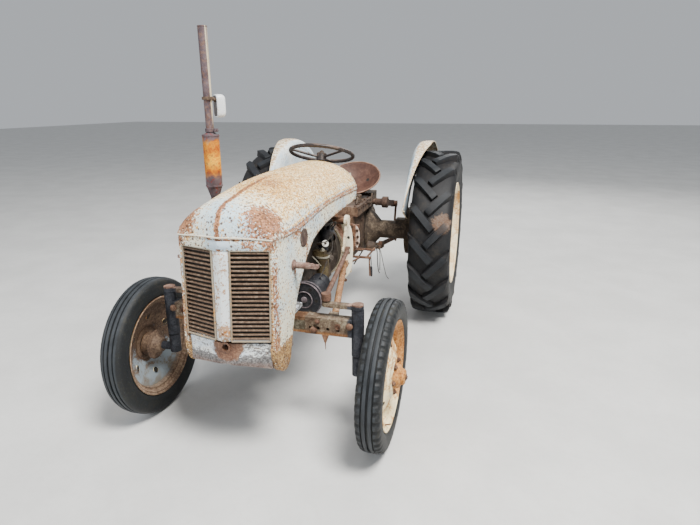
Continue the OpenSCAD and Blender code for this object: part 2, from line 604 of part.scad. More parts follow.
module lower_link() difference() {
  union() {
    translate(link_p + [-14, 0, 0]) rotate([0, 90, 0]) cylinder(h = 28, r = 30);
    translate(link_end + [-17.5, 0, 0]) rotate([0, 90, 0]) cylinder(h = 35, r = 28);
    hull() {
      translate(link_p + [-6, 26, -16]) cube([14, 2, 32]);
      translate(link_end + [-8, -26, -16]) cube([14, 2, 32]);
    }
  }
  xcyl(link_p[0] - 30, link_p[0] + 30, link_p[1], link_p[2], 14.2 + eps);
  xcyl(link_end[0] - 40, link_end[0] + 40, link_end[1], link_end[2], eye_r);
}
module lower_link_left() color("saddlebrown") placed() lower_link();
module lower_link_right() color("saddlebrown") placed() mirror([1, 0, 0]) lower_link();

engine_block();
cylinder_head();
radiator();
fan();
dynamo();
oil_filter();
distributor();
manifold();
exhaust_stack();
mirror_head();  // mirror
fuel_tank();
instrument_panel();
steering_column();
clutch_housing();
transmission();
rear_axle_centre();
axle_trumpets();
seat_spring();
seat_pan();
fender_left();
fender_right();
front_axle_bracket();
axle_beam();
axle_arms();
radius_rods();
footrest_rods();
pedals();
gear_lever();
drawbar();
pto_shaft();
top_link_bracket();
bonnet_shell();
grilles();
lamp_brackets();
spindle_left();
spindle_right();
front_tyre_left();
front_rim_left();
front_tyre_right();
front_rim_right();
rear_tyre_left();
rear_rim_left();
rear_tyre_right();
rear_rim_right();
steering_wheel();
drop_arm_left();
drop_arm_right();
drag_link_left();
drag_link_right();
lift_arms();
lift_rod_left();
lift_rod_right();
lower_link_left();
lower_link_right();
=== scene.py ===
import bpy, bmesh, math
import numpy as np
from mathutils import Vector, Matrix


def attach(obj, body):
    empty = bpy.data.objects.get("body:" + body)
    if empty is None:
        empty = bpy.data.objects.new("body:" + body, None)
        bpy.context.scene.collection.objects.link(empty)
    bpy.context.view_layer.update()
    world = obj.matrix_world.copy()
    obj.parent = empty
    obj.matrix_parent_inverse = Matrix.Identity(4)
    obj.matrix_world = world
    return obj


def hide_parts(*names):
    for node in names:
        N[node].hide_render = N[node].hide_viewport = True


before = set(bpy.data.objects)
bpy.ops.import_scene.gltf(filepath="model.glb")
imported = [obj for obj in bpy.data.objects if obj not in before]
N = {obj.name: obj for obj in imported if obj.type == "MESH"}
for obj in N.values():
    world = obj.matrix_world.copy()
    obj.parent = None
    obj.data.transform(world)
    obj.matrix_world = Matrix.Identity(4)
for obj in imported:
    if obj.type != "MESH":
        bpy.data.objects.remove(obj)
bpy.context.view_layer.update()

MID_Y = 1103.4                 # middle of the machine behind the front axle, mm
RNG = np.random.RandomState(7)


# ------------------------------------------------------------------ helpers
def w(p):
    """Front axle frame in mm to the row frame in metres."""
    q = np.array(p, float)
    q[..., 1] -= MID_Y
    return q / 1000.0


def mesh(name, verts, faces, mat, body, smooth=True, mirror=False, angle=38.0, replaces=(), slot=None, local=False):
    v = np.array(verts, float)
    if mirror:
        v = v * np.array([-1.0, 1.0, 1.0])
        faces = [tuple(reversed(f)) for f in faces]
    if not local:
        v = w(v)
    me = bpy.data.meshes.new(name)
    me.from_pydata([tuple(p) for p in v], [], [tuple(int(i) for i in f) for f in faces])
    me.validate()
    bm = bmesh.new()
    bm.from_mesh(me)
    bmesh.ops.remove_doubles(bm, verts=bm.verts, dist=1e-6)
    if smooth:
        lim = math.radians(angle)
        for f in bm.faces:
            f.smooth = True
        for e in bm.edges:
            if len(e.link_faces) == 2:
                try:
                    e.smooth = e.calc_face_angle() < lim
                except ValueError:
                    e.smooth = True
    bm.to_mesh(me)
    bm.free()
    o = bpy.data.objects.new(name, me)
    bpy.context.scene.collection.objects.link(o)
    mats = mat if isinstance(mat, (list, tuple)) else [mat]
    for m in mats:
        me.materials.append(m)
    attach(o, body)
    if replaces:
        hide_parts(*replaces)
    return o


class Geo:
    """Collects solids in one mesh."""

    def __init__(self):
        self.v, self.f = [], []

    def add(self, v, f):
        b = len(self.v)
        self.v += [tuple(p) for p in np.array(v, float)]
        self.f += [tuple(b + i for i in q) for q in f]
        return self

    def grid(self, rows, closed_u=False, closed_v=False, flip=False):
        rows = np.array(rows, float)
        n, m = rows.shape[:2]
        b = len(self.v)
        self.v += [tuple(p) for p in rows.reshape(-1, 3)]
        for i in range(n if closed_u else n - 1):
            for j in range(m if closed_v else m - 1):
                a, c = b + i * m + j, b + i * m + (j + 1) % m
                d, e = b + ((i + 1) % n) * m + (j + 1) % m, b + ((i + 1) % n) * m + j
                self.f.append((a, e, d, c) if flip else (a, c, d, e))
        return self

    def cap(self, ring, flip=False):
        b = len(self.v)
        self.v += [tuple(p) for p in ring]
        idx = list(range(b, b + len(ring)))
        self.f.append(tuple(reversed(idx)) if flip else tuple(idx))
        return self

    def lathe(self, prof, centre, axis, n=48, closed=False):
        """prof: (along axis, radius) points. The axis is a unit vector."""
        ax = np.array(axis, float)
        ax /= np.linalg.norm(ax)
        t = np.array([0, 0, 1.0]) if abs(ax[2]) < 0.9 else np.array([1.0, 0, 0])
        e1 = np.cross(t, ax)
        e1 /= np.linalg.norm(e1)
        e2 = np.cross(ax, e1)
        th = np.linspace(0, 2 * np.pi, n, endpoint=False)
        ring = np.outer(np.cos(th), e1) + np.outer(np.sin(th), e2)
        rows = [np.array(centre, float) + ax * a + ring * max(r, 1e-4) for a, r in prof]
        self.grid(rows, closed_u=closed, closed_v=True, flip=True)
        return self

    def tube(self, pts, r, n=10, caps=True):
        """Round bar along points; r is a number or one for each point."""
        P = np.array(pts, float)
        k = len(P)
        rr = np.full(k, r, float) if np.isscalar(r) else np.array(r, float)
        T = np.gradient(P, axis=0)
        T /= np.linalg.norm(T, axis=1)[:, None]
        up = np.array([0, 0, 1.0]) if abs(T[0][2]) < 0.9 else np.array([1.0, 0, 0])
        rows = []
        e1 = np.cross(T[0], up)
        e1 /= np.linalg.norm(e1)
        th = np.linspace(0, 2 * np.pi, n, endpoint=False)
        for i in range(k):
            e1 = e1 - T[i] * (e1 @ T[i])
            e1 /= np.linalg.norm(e1)
            e2 = np.cross(T[i], e1)
            rows.append(P[i] + rr[i] * (np.outer(np.cos(th), e1) + np.outer(np.sin(th), e2)))
        self.grid(rows, closed_v=True, flip=False)
        if caps:
            self.cap(rows[0])
            self.cap(rows[-1], flip=True)
        return self

    def block(self, a, b, bevel=0.0):
        """Box with chamfered edges, from its low to its high corner."""
        a, b = np.array(a, float), np.array(b, float)
        c, h = (a + b) / 2, (b - a) / 2
        k = min(bevel, *(h * 0.45))
        bm = bmesh.new()
        bmesh.ops.create_cube(bm, size=2.0)
        for v in bm.verts:
            v.co = Vector((v.co.x * h[0], v.co.y * h[1], v.co.z * h[2]))
        if k > 0:
            bmesh.ops.bevel(bm, geom=list(bm.edges), offset=k, segments=2, affect='EDGES', profile=0.5)
        bm.verts.index_update()
        vs = [np.array(v.co) + c for v in bm.verts]
        fs = [tuple(v.index for v in f.verts) for f in bm.faces]
        bm.free()
        return self.add(vs, fs)

    def turned(self, other, origin, R):
        """Adds another Geo, turned by R (columns) and moved to origin."""
        v = np.array(other.v) @ np.array(R).T + np.array(origin)
        return self.add(v, other.f)

    def hexbolt(self, p, axis, af=17.0, h=8.0, shank=0.0, washer=True):
        """Bolt head or nut, flats af apart, standing on point p along axis."""
        ax = np.array(axis, float)
        ax /= np.linalg.norm(ax)
        r = af / math.sqrt(3)
        if washer:
            self.lathe([(0, 0), (0, r * 1.28), (1.6, r * 1.25), (1.8, 0)], p, ax, 18)
        self.lathe([(0.5, 0), (0.5, r), (h - 1.2, r), (h, r * 0.86), (h, 0)], p, ax, 6)
        if shank > 0:
            self.lathe([(h - 1, r * 0.5), (h + shank - 1, r * 0.5), (h + shank, r * 0.42), (h + shank, 0)], p, ax, 10)
        return self

    def out(self, name, mat, body, **k):
        return mesh(name, self.v, self.f, mat, body, **k)


def spline(pts, n):
    """Catmull-Rom through the points."""
    P = np.array(pts, float)
    P = np.vstack([2 * P[0] - P[1], P, 2 * P[-1] - P[-2]])
    k = len(P) - 3
    out = []
    for t in np.linspace(0, k, n):
        i = min(int(t), k - 1)
        s = t - i
        a, b, c, d = P[i], P[i + 1], P[i + 2], P[i + 3]
        out.append(0.5 * ((2 * b) + (-a + c) * s + (2 * a - 5 * b + 4 * c - d) * s * s + (-a + 3 * b - 3 * c + d) * s ** 3))
    return np.array(out)


def basis(ex):
    ex = np.array(ex, float)
    ex /= np.linalg.norm(ex)
    ez = np.array([0, 0, 1.0]) - ex * ex[2]
    ez /= np.linalg.norm(ez)
    return np.stack([ex, np.cross(ez, ex), ez], 1)


# ------------------------------------------------------------------ materials
class Mat:
    """Short way to write a node material."""

    def __init__(self, name):
        self.m = bpy.data.materials.new(name)
        self.m.use_nodes = True
        self.t = self.m.node_tree
        self.t.nodes.clear()
        self.out = self.t.nodes.new("ShaderNodeOutputMaterial")
        self.b = self.t.nodes.new("ShaderNodeBsdfPrincipled")
        self.t.links.new(self.b.outputs[0], self.out.inputs[0])
        self.tc = self.t.nodes.new("ShaderNodeTexCoord")
        self.P = self.tc.outputs["Object"]
        self.Nn = self.tc.outputs["Normal"]

    def new(self, kind, **k):
        n = self.t.nodes.new(kind)
        for a, b in k.items():
            setattr(n, a, b)
        return n

    def put(self, sock, val):
        if isinstance(val, bpy.types.NodeSocket):
            self.t.links.new(val, sock)
        elif isinstance(val, (tuple, list)) and len(val) == 3 and sock.type == 'RGBA':
            sock.default_value = (*val, 1)
        else:
            sock.default_value = val

    def noise(self, scale, detail=4, rough=0.55, dist=0.0, vec=None, out="Fac"):
        n = self.new("ShaderNodeTexNoise")
        n.inputs["Scale"].default_value = scale
        n.inputs["Detail"].default_value = detail
        n.inputs["Roughness"].default_value = rough
        n.inputs["Distortion"].default_value = dist
        self.put(n.inputs["Vector"], vec or self.P)
        return n.outputs[out]

    def voronoi(self, scale, vec=None, feature='F1', out="Distance", rand=1.0):
        n = self.new("ShaderNodeTexVoronoi", feature=feature)
        n.inputs["Scale"].default_value = scale
        n.inputs["Randomness"].default_value = rand
        self.put(n.inputs["Vector"], vec or self.P)
        return n.outputs[out]

    def math(self, op, a, b=0.0, c=0.0, clamp=False):
        n = self.new("ShaderNodeMath", operation=op, use_clamp=clamp)
        self.put(n.inputs[0], a)
        self.put(n.inputs[1], b)
        self.put(n.inputs[2], c)
        return n.outputs[0]

    def ramp(self, fac, stops, interp='LINEAR'):
        n = self.new("ShaderNodeValToRGB")
        r = n.color_ramp
        r.interpolation = interp
        while len(r.elements) < len(stops):
            r.elements.new(0.5)
        for e, (p, c) in zip(r.elements, sorted(stops, key=lambda s: s[0])):
            e.position = p
            c = (c, c, c) if np.isscalar(c) else c
            e.color = (*c, 1)
        self.put(n.inputs[0], fac)
        return n.outputs[0]

    def step(self, fac, a, b):
        """0 below a, 1 above b."""
        n = self.new("ShaderNodeMapRange", interpolation_type='SMOOTHSTEP')
        self.put(n.inputs["Value"], fac)
        n.inputs["From Min"].default_value = min(a, b)
        n.inputs["From Max"].default_value = max(a, b)
        n.inputs["To Min"].default_value = 0.0 if a < b else 1.0
        n.inputs["To Max"].default_value = 1.0 if a < b else 0.0
        return n.outputs["Result"]

    def mix(self, fac, a, b, mode='MIX'):
        n = self.new("ShaderNodeMix", data_type='RGBA', blend_type=mode)
        self.put(n.inputs[0], fac)
        self.put(n.inputs[6], a)
        self.put(n.inputs[7], b)
        return n.outputs[2]

    def sep(self, v):
        n = self.new("ShaderNodeSeparateXYZ")
        self.put(n.inputs[0], v)
        return n.outputs

    def vec(self, op, a, b):
        n = self.new("ShaderNodeVectorMath", operation=op)
        self.put(n.inputs[0], a)
        self.put(n.inputs[1], b)
        return n.outputs[0]

    def scaled(self, s):
        return self.vec('MULTIPLY', self.P, s)

    def blob(self, p, r, squash=(1, 1, 1)):
        """About 1 at a place in the row frame (given in mm of the front axle frame), 0 beyond r mm."""
        d = self.vec('SUBTRACT', self.P, tuple(w(p)))
        d = self.vec('MULTIPLY', d, squash)
        n = self.new("ShaderNodeVectorMath", operation='LENGTH')
        self.put(n.inputs[0], d)
        return self.math('SUBTRACT', 1.0, self.math('DIVIDE', n.outputs["Value"], r / 1000.0), clamp=True)

    def lut(self, v, pts):
        """Piecewise straight curve through (input, output) pairs."""
        a0, a1 = pts[0][0], pts[-1][0]
        lo, hi = min(q for _, q in pts), max(q for _, q in pts)
        t = self.math('DIVIDE', self.math('SUBTRACT', v, a0), a1 - a0, clamp=True)
        g = self.ramp(t, [((a - a0) / (a1 - a0), (q - lo) / (hi - lo)) for a, q in pts])
        return self.math('MULTIPLY_ADD', g, hi - lo, lo)

    def near(self, d, width):
        """1 on the line d = 0, falling to 0 at the width."""
        return self.math('SUBTRACT', 1.0, self.math('DIVIDE', self.math('ABSOLUTE', d), width), clamp=True)

    def radius(self, centre):
        """Distance from a wheel's axle line, m."""
        v = self.vec('MULTIPLY', self.vec('SUBTRACT', self.P, tuple(w(centre))), (0, 1, 1))
        n = self.new("ShaderNodeVectorMath", operation='LENGTH')
        self.put(n.inputs[0], v)
        return n.outputs["Value"]

    def bump(self, h, strength=0.3, dist=0.002):
        n = self.new("ShaderNodeBump")
        n.inputs["Strength"].default_value = strength
        n.inputs["Distance"].default_value = dist
        self.put(n.inputs["Height"], h)
        self.t.links.new(n.outputs[0], self.b.inputs["Normal"])
        return n

    def finish(self, color, rough=0.6, metal=0.0, spec=None, sheen=None):
        if not isinstance(color, (tuple, list)):
            hs = self.t.nodes.new("ShaderNodeHueSaturation")
            hs.inputs["Saturation"].default_value = 1.20
            self.t.links.new(color, hs.inputs["Color"])
            color = hs.outputs["Color"]
        self.put(self.b.inputs["Base Color"], color)
        self.put(self.b.inputs["Roughness"], rough)
        self.put(self.b.inputs["Metallic"], metal)
        if spec is not None:
            self.b.inputs["Specular IOR Level"].default_value = spec
        return self.m


RUST_D = (0.100, 0.040, 0.020)
RUST_M = (0.235, 0.100, 0.045)
RUST_O = (0.420, 0.200, 0.080)
RUST_T = (0.480, 0.310, 0.180)


def rust_color(M, seed=0.0, scale=14.0):
    v = M.vec('ADD', M.P, (seed, seed * 1.7, -seed))
    a = M.noise(scale, 6, 0.62, 0.4, v)
    b = M.noise(scale * 9, 4, 0.6, 0.0, v)
    c = M.ramp(a, [(0.30, RUST_D), (0.45, RUST_M), (0.58, RUST_O), (0.72, RUST_T)])
    return M.mix(M.math('MULTIPLY', M.step(b, 0.5, 0.68), 0.6), c, RUST_D)


def worn_paint(name, paint, paint2, rust=0.35, speck=0.3, top=0.0, seed=0.0, blobs=(), rough=0.62, speck_scale=95.0,
               tint=(0.50, 0.31, 0.16), pits=0.5, edge_z=None):
    """Old paint with rust showing through. rust and speck are the shares of larger patches and of fine specks."""
    M = Mat(name)
    sv = M.vec('ADD', M.P, (seed, -seed, seed * 2.3))
    low = M.noise(4.5, 4, 0.6, 0.3, sv)
    mid = M.noise(22, 6, 0.65, 0.5, sv)
    fine = M.noise(speck_scale, 5, 0.7, 0.0, sv)
    finer = M.noise(speck_scale * 2.7, 3, 0.6, 0.0, sv)
    base = M.mix(M.step(low, 0.35, 0.65), paint, paint2)
    base = M.mix(M.math('MULTIPLY', M.step(finer, 0.35, 0.7), 0.35), base, tuple(c * 0.72 for c in paint))
    rc = rust_color(M, seed)
    amount = M.math('MULTIPLY', M.math('SUBTRACT', low, 0.5), 0.55)
    amount = M.math('ADD', amount, M.math('MULTIPLY', M.math('SUBTRACT', mid, 0.5), 0.8))
    if top:
        nz = M.sep(M.Nn)[2]
        amount = M.math('ADD', amount, M.math('MULTIPLY', M.step(nz, 0.25, 0.85), top))
    for p, r, k, sq in blobs:
        amount = M.math('ADD', amount, M.math('MULTIPLY', M.blob(p, r, sq), k))
    # fine specks grow with the amount
    sp = M.math('ADD', M.math('MULTIPLY', fine, 1.0), M.math('MULTIPLY', amount, 0.55))
    sp = M.step(sp, 0.66 - speck * 0.22, 0.73 - speck * 0.22)
    col = M.mix(M.math('MULTIPLY', sp, 0.85), base, tint)
    patch = M.step(M.math('ADD', amount, M.math('MULTIPLY', M.math('SUBTRACT', fine, 0.5), 0.45)), 0.42 - rust * 0.5, 0.52 - rust * 0.5)
    col = M.mix(patch, col, rc)
    vd = M.voronoi(38, sv)
    cell = M.voronoi(38, sv, out="Color")
    pit = M.math('MULTIPLY', M.step(vd, 0.17, 0.10), M.step(M.sep(cell)[0], 0.62, 0.66))
    col = M.mix(M.math('MULTIPLY', pit, pits), col, (0.045, 0.025, 0.018))
    if edge_z is not None:
        z = M.sep(M.P)[2]
        g = M.math('ADD', z, M.math('MULTIPLY', M.math('SUBTRACT', mid, 0.5), 0.12))
        col = M.mix(M.math('MULTIPLY', M.step(g, edge_z[1], edge_z[0]), 0.85), col, rc)
    M.bump(M.math('ADD', M.math('MULTIPLY', patch, 0.7), M.math('ADD', M.math('MULTIPLY', sp, 0.25), M.math('MULTIPLY', fine, 0.5))), 0.35, 0.0012)
    r = M.math('ADD', rough - 0.12, M.math('MULTIPLY', M.math('MAXIMUM', patch, sp), 0.30), clamp=True)
    return M.finish(col, r, 0.0, 0.4)


def iron(name, a, b, c, scale=16.0, seed=0.0, rough=0.75, bump=0.5, metal=0.0, dirt_and_underside_shade=(0.05, 0.035, 0.025), dirt_and_underside_shade_amt=0.6):
    """Rusty or greasy iron in three tones."""
    M = Mat(name)
    sv = M.vec('ADD', M.P, (seed, seed * 0.6, -seed))
    n1 = M.noise(scale, 7, 0.68, 0.6, sv)
    n2 = M.noise(scale * 5.5, 5, 0.66, 0.2, sv)
    n3 = M.noise(scale * 22, 3, 0.6, 0.0, sv)
    col = M.ramp(M.math('ADD', M.math('MULTIPLY', n1, 0.65), M.math('MULTIPLY', n2, 0.35)), [(0.36, a), (0.50, b), (0.64, c)])
    col = M.mix(M.math('MULTIPLY', M.step(n3, 0.48, 0.66), 0.4), col, tuple(x * 0.45 for x in a))
    # faces that point down are darkened: painted shade under the parts
    nz = M.sep(M.Nn)[2]
    low = M.math('MULTIPLY', M.step(nz, 0.1, -0.7), dirt_and_underside_shade_amt)
    col = M.mix(low, col, dirt_and_underside_shade)
    M.bump(M.math('ADD', M.math('MULTIPLY', n2, 0.8), M.math('MULTIPLY', n3, 0.4)), bump, 0.0016)
    r = M.math('ADD', rough - 0.1, M.math('MULTIPLY', n2, 0.2), clamp=True)
    return M.finish(col, r, metal, 0.35)


def rubber(name, centre, r_base, r_top, base, top, dirt_and_underside_shade, seed, dirt_and_underside_shade_amt=0.5, worn=None):
    """Black rubber with scuffed tread tops and earth caught in the rest."""
    M = Mat(name)
    sv = M.vec('ADD', M.P, (seed, -seed, seed))
    n1 = M.noise(9, 6, 0.65, 0.4, sv)
    n2 = M.noise(60, 5, 0.7, 0.0, sv)
    n3 = M.noise(210, 3, 0.6, 0.0, sv)
    rr = M.math('ADD', M.radius(centre), M.math('MULTIPLY', M.math('SUBTRACT', n2, 0.5), 0.004))
    t = M.step(rr, r_base / 1000, r_top / 1000)
    lit = M.math('MULTIPLY', t, M.math('ADD', 0.35, M.math('MULTIPLY', M.step(n1, 0.35, 0.62), 0.65)))
    col = M.mix(lit, base, top)
    k = M.math('ADD', M.math('MULTIPLY', n1, 0.55), M.math('MULTIPLY', n2, 0.55))
    d = M.math('MULTIPLY', M.step(k, 0.54, 0.70), M.math('SUBTRACT', dirt_and_underside_shade_amt, M.math('MULTIPLY', t, dirt_and_underside_shade_amt * 0.7)))
    col = M.mix(d, col, dirt_and_underside_shade)
    col = M.mix(M.math('MULTIPLY', M.step(n3, 0.60, 0.70), 0.45), col, tuple(c * 2.4 for c in top))
    if worn:
        p, r, c1, c2 = worn
        b = M.math('ADD', M.blob(p, r), M.math('MULTIPLY', M.math('SUBTRACT', n2, 0.5), 1.1))
        b = M.math('MULTIPLY', M.step(b, 0.18, 0.40), M.math('SUBTRACT', 1.0, M.math('MULTIPLY', t, 0.8)))
        col = M.mix(M.math('MULTIPLY', b, 0.8), col, M.mix(M.step(n3, 0.42, 0.58), c1, c2))
    M.bump(M.math('ADD', M.math('MULTIPLY', n2, 0.6), M.math('MULTIPLY', n3, 0.4)), 0.4, 0.0015)
    return M.finish(col, M.math('ADD', 0.50, M.math('MULTIPLY', n2, 0.3), clamp=True), 0.0, 0.4)


WHITE_BLUE = (0.56, 0.60, 0.60)
OFF_WHITE = (0.66, 0.66, 0.61)
CREAM = (0.62, 0.55, 0.41)

def sheet_paint(name, seed, kind="bonnet"):
    """Old two-tone paint: cream with dense tan specks on top, pale blue-grey with round spots on nose and sides."""
    M = Mat(name)
    sv = M.vec('ADD', M.P, (seed, -seed, seed * 2.3))
    x, y, z = M.sep(M.P)
    ax = M.math('ABSOLUTE', x)
    fy = M.math('ADD', y, MID_Y / 1000)
    nz = M.sep(M.Nn)[2]
    low = M.noise(4.0, 4, 0.6, 0.3, sv)
    mid = M.noise(17, 5, 0.65, 0.4, sv)
    f1 = M.noise(92, 2, 0.6, 0.0, sv)
    f2 = M.noise(125, 1, 0.5, 0.0, sv)
    pale = M.mix(M.step(low, 0.38, 0.62), (0.53, 0.65, 0.71), (0.80, 0.78, 0.65))
    wob = M.math('MULTIPLY', M.math('SUBTRACT', mid, 0.5), 1.0)
    if kind == "bonnet":
        T = M.math('MULTIPLY', M.step(M.math('ADD', nz, M.math('MULTIPLY', wob, 0.5)), 0.16, 0.60),
                   M.step(M.math('ADD', fy, M.math('MULTIPLY', wob, 0.3)), -0.27, -0.02))
    else:
        T = M.math('MULTIPLY', nz, 0.0)
    base = M.mix(M.math('MULTIPLY', T, 0.95), pale, (0.93, 0.78, 0.50))
    A = M.math('ADD', 0.15, M.math('MULTIPLY', T, 0.44))
    A = M.math('ADD', A, M.math('MULTIPLY', wob, 0.55))
    A = M.math('ADD', A, M.math('MULTIPLY', M.math('SUBTRACT', low, 0.5), 0.28))
    R = M.math('MULTIPLY', nz, 0.0)
    if kind == "bonnet":
        for p, r, k, sq in (((165, -250, 1088), 122, 1.5, (1, 1, 1)), ((-175, -262, 1085), 105, 1.45, (1, 1, 1)), ((-215, -230, 1040), 70, 1.2, (1, 1, 1)), ((30, -322, 1035), 45, 0.5, (1.6, 1, 1)), ((200, -292, 1008), 52, 1.1, (1, 1, 1)),
                            ((-205, -285, 1000), 45, 0.9, (1, 1, 1)), ((120, -318, 1000), 60, 0.8, (1, 1, 1.4)), ((225, -60, 1000), 95, 0.75, (1, 1, 2.2)), ((222, 62, 898), 60, 0.9, (1, 2.2, 1)), ((212, -90, 843), 42, 1.5, (1, 2.6, 1)), ((-212, -90, 843), 42, 1.3, (1, 2.6, 1)), ((-225, -60, 1000), 95, 0.6, (1, 1, 2.2)), ((60, 60, 1195), 150, 0.42, (1, 0.6, 1))):
            R = M.math('MAXIMUM', R, M.math('MULTIPLY', M.blob(p, r, sq), k))
        # rusty ridge on the centre line
        rid = M.math('MULTIPLY', M.near(M.math('ADD', x, M.math('MULTIPLY', wob, 0.010)), 0.015), M.step(fy, 0.34, -0.12))
        R = M.math('MAXIMUM', R, M.math('MULTIPLY', rid, 1.7))
        # lines pressed into the sides
        zs = M.lut(fy, [(-0.340, 1.022), (-0.282, 1.022), (-0.222, 1.018), (-0.160, 1.013), (-0.060, 1.011), (0.050, 1.022), (0.110, 1.030), (0.177, 1.038),
                        (0.366, 1.054), (0.620, 1.052), (0.870, 1.046)])
        dz = M.math('SUBTRACT', z, zs)
        flank = M.step(ax, 0.185, 0.20)
        line = M.math('MAXIMUM', M.near(M.math('ADD', dz, 0.001), 0.010), M.near(M.math('SUBTRACT', dz, 0.018), 0.008))
        R = M.math('MAXIMUM', R, M.math('MULTIPLY', M.math('MULTIPLY', line, flank), M.math('ADD', 0.75, M.math('MULTIPLY', wob, 1.8))))
        belt = M.near(M.math('SUBTRACT', dz, 0.014), 0.026)
        R = M.math('MAXIMUM', R, M.math('MULTIPLY', M.math('MULTIPLY', belt, flank), M.math('ADD', 0.62, M.math('MULTIPLY', wob, 2.2))))
        front = M.math('MULTIPLY', M.math('MULTIPLY', M.step(M.math('ADD', fy, M.math('MULTIPLY', wob, 0.05)), -0.235, -0.280), flank), M.step(M.math('ADD', z, M.math('MULTIPLY', wob, 0.2)), 1.02, 0.86))
        R = M.math('MAXIMUM', R, M.math('MULTIPLY', front, M.math('MULTIPLY_ADD', wob, 1.1, 0.62)))
        seam = M.math('MULTIPLY', M.near(M.math('SUBTRACT', z, 1.026), 0.010), M.step(fy, -0.26, -0.275))
        R = M.math('MAXIMUM', R, M.math('MULTIPLY', seam, M.math('ADD', 0.6, M.math('MULTIPLY', wob, 2.0))))
        zl = M.lut(fy, [(-0.300, 0.500), (-0.268, 0.455), (-0.210, 0.432), (-0.162, 0.464), (-0.142, 0.540), (-0.072, 0.710), (0.039, 0.842), (0.106, 0.894),
                        (0.184, 0.934), (0.366, 0.967), (0.620, 0.984), (0.878, 0.992)])
        low_edge = M.near(M.math('SUBTRACT', z, zl), 0.022)
        R = M.math('MAXIMUM', R, M.math('MULTIPLY', M.math('MULTIPLY', low_edge, flank), M.math('ADD', 0.45, M.math('MULTIPLY', wob, 1.3))))
        # foot
        R = M.math('MAXIMUM', R, M.math('MULTIPLY', M.step(M.math('ADD', z, M.math('MULTIPLY', wob, 0.03)), 0.575, 0.545), 1.0))
    if kind == "pillar":
        R = M.math('ADD', M.math('MULTIPLY_ADD', wob, 0.9, 0.42), M.math('MULTIPLY', M.step(M.math('ADD', z, M.math('MULTIPLY', wob, 0.25)), 0.93, 0.66), 0.40))
        R = M.math('SUBTRACT', R, M.math('MULTIPLY', M.step(ax, 0.199, 0.2085), 0.42))
        R = M.math('MAXIMUM', R, M.math('MULTIPLY', M.step(M.math('ADD', z, M.math('MULTIPLY', wob, 0.03)), 0.575, 0.545), 1.0))
    A = M.math('ADD', A, M.math('MULTIPLY', R, 0.85))
    tan = M.mix(M.step(mid, 0.42, 0.6), (0.58, 0.32, 0.12), (0.70, 0.46, 0.22))
    red = M.ramp(M.math('ADD', M.math('MULTIPLY', mid, 0.5), M.math('MULTIPLY', f1, 0.5)),
                 [(0.36, (0.12, 0.050, 0.030)), (0.48, (0.29, 0.125, 0.066)), (0.62, (0.47, 0.235, 0.130))])
    if kind != "bonnet":
        red = M.ramp(M.math('ADD', M.math('MULTIPLY', mid, 0.5), M.math('MULTIPLY', f1, 0.5)),
                     [(0.36, (0.15, 0.070, 0.040)), (0.48, (0.46, 0.24, 0.115)), (0.62, (0.64, 0.42, 0.22))])
    foot = M.step(M.math('ADD', z, M.math('MULTIPLY', wob, 0.04)), 0.570, 0.545)
    yel = M.ramp(M.math('ADD', M.math('MULTIPLY', mid, 0.55), M.math('MULTIPLY', f1, 0.45)),
                 [(0.38, (0.09, 0.050, 0.028)), (0.47, (0.34, 0.20, 0.09)), (0.62, (0.60, 0.42, 0.20))])
    red = M.mix(foot, red, yel)
    sc = M.mix(M.step(R, 0.22, 0.5), tan, red)
    sp = M.step(M.math('ADD', f1, M.math('MULTIPLY', M.math('SUBTRACT', A, 0.5), 0.36)), 0.475, 0.535)
    col = M.mix(M.math('MULTIPLY', sp, 0.92), base, sc)
    dk = M.step(M.math('ADD', f2, M.math('MULTIPLY', M.math('SUBTRACT', A, 0.5), 0.14)), 0.575, 0.625)
    col = M.mix(M.math('MULTIPLY', dk, 0.85), col, (0.15, 0.075, 0.040))
    lt = M.step(M.math('SUBTRACT', M.noise(170, 2, 0.6, 0.0, M.vec('ADD', M.P, (7, 3, seed))), M.math('MULTIPLY', R, 0.05)), 0.60, 0.66)
    col = M.mix(M.math('MULTIPLY', lt, 0.80), col, (0.95, 0.91, 0.80))
    # round spots where the paint has blown
    vd = M.voronoi(62, sv)
    cell = M.sep(M.voronoi(62, sv, out="Color"))
    size = M.math('MULTIPLY_ADD', cell[1], 0.17, 0.20)
    thr = M.math('SUBTRACT', 0.70, M.math('MULTIPLY', M.math('SUBTRACT', 1.0, T), 0.36))
    dot = M.math('MULTIPLY', M.step(M.math('SUBTRACT', vd, size), 0.04, -0.04), M.step(M.math('SUBTRACT', cell[0], thr), 0.0, 0.03))
    col = M.mix(M.math('MULTIPLY', dot, M.math('SUBTRACT', 0.92, M.math('MULTIPLY', T, 0.45))), col, (0.075, 0.040, 0.028))
    M.bump(M.math('ADD', M.math('MULTIPLY', sp, 0.5), M.math('ADD', M.math('MULTIPLY', dk, -0.3), M.math('MULTIPLY', mid, 0.6))), 0.4, 0.0012)
    return M.finish(col, M.math('ADD', 0.50, M.math('MULTIPLY', sp, 0.25), clamp=True), 0.0, 0.4)


m_bonnet = sheet_paint("bonnet_paint", 1.3)
m_pillar = sheet_paint("pillar_paint", 3.7, "pillar")
m_pale = worn_paint("pale_paint", (0.78, 0.80, 0.79), (0.70, 0.75, 0.76), rust=0.17, speck=0.45, seed=4.1, pits=1.0,
    blobs=[((0, -352, 640), 60, 0.45, (1, 1, 1))], tint=(0.36, 0.20, 0.10))
m_badge = worn_paint("badge_blank", (0.62, 0.71, 0.78), (0.52, 0.62, 0.72), rust=0.02, speck=0.1, seed=2.2, pits=0.2, rough=0.5)
m_grille = iron("grille_rust", (0.048, 0.031, 0.022), (0.124, 0.084, 0.060), (0.265, 0.200, 0.150), 60, 2.0, 0.7, 0.3, dirt_and_underside_shade_amt=0.7, dirt_and_underside_shade=(0.02, 0.014, 0.011))
m_grille_frame = worn_paint("grille_frame_paint", (0.29, 0.26, 0.21), (0.23, 0.18, 0.13), rust=0.55, speck=0.45, seed=6.0)
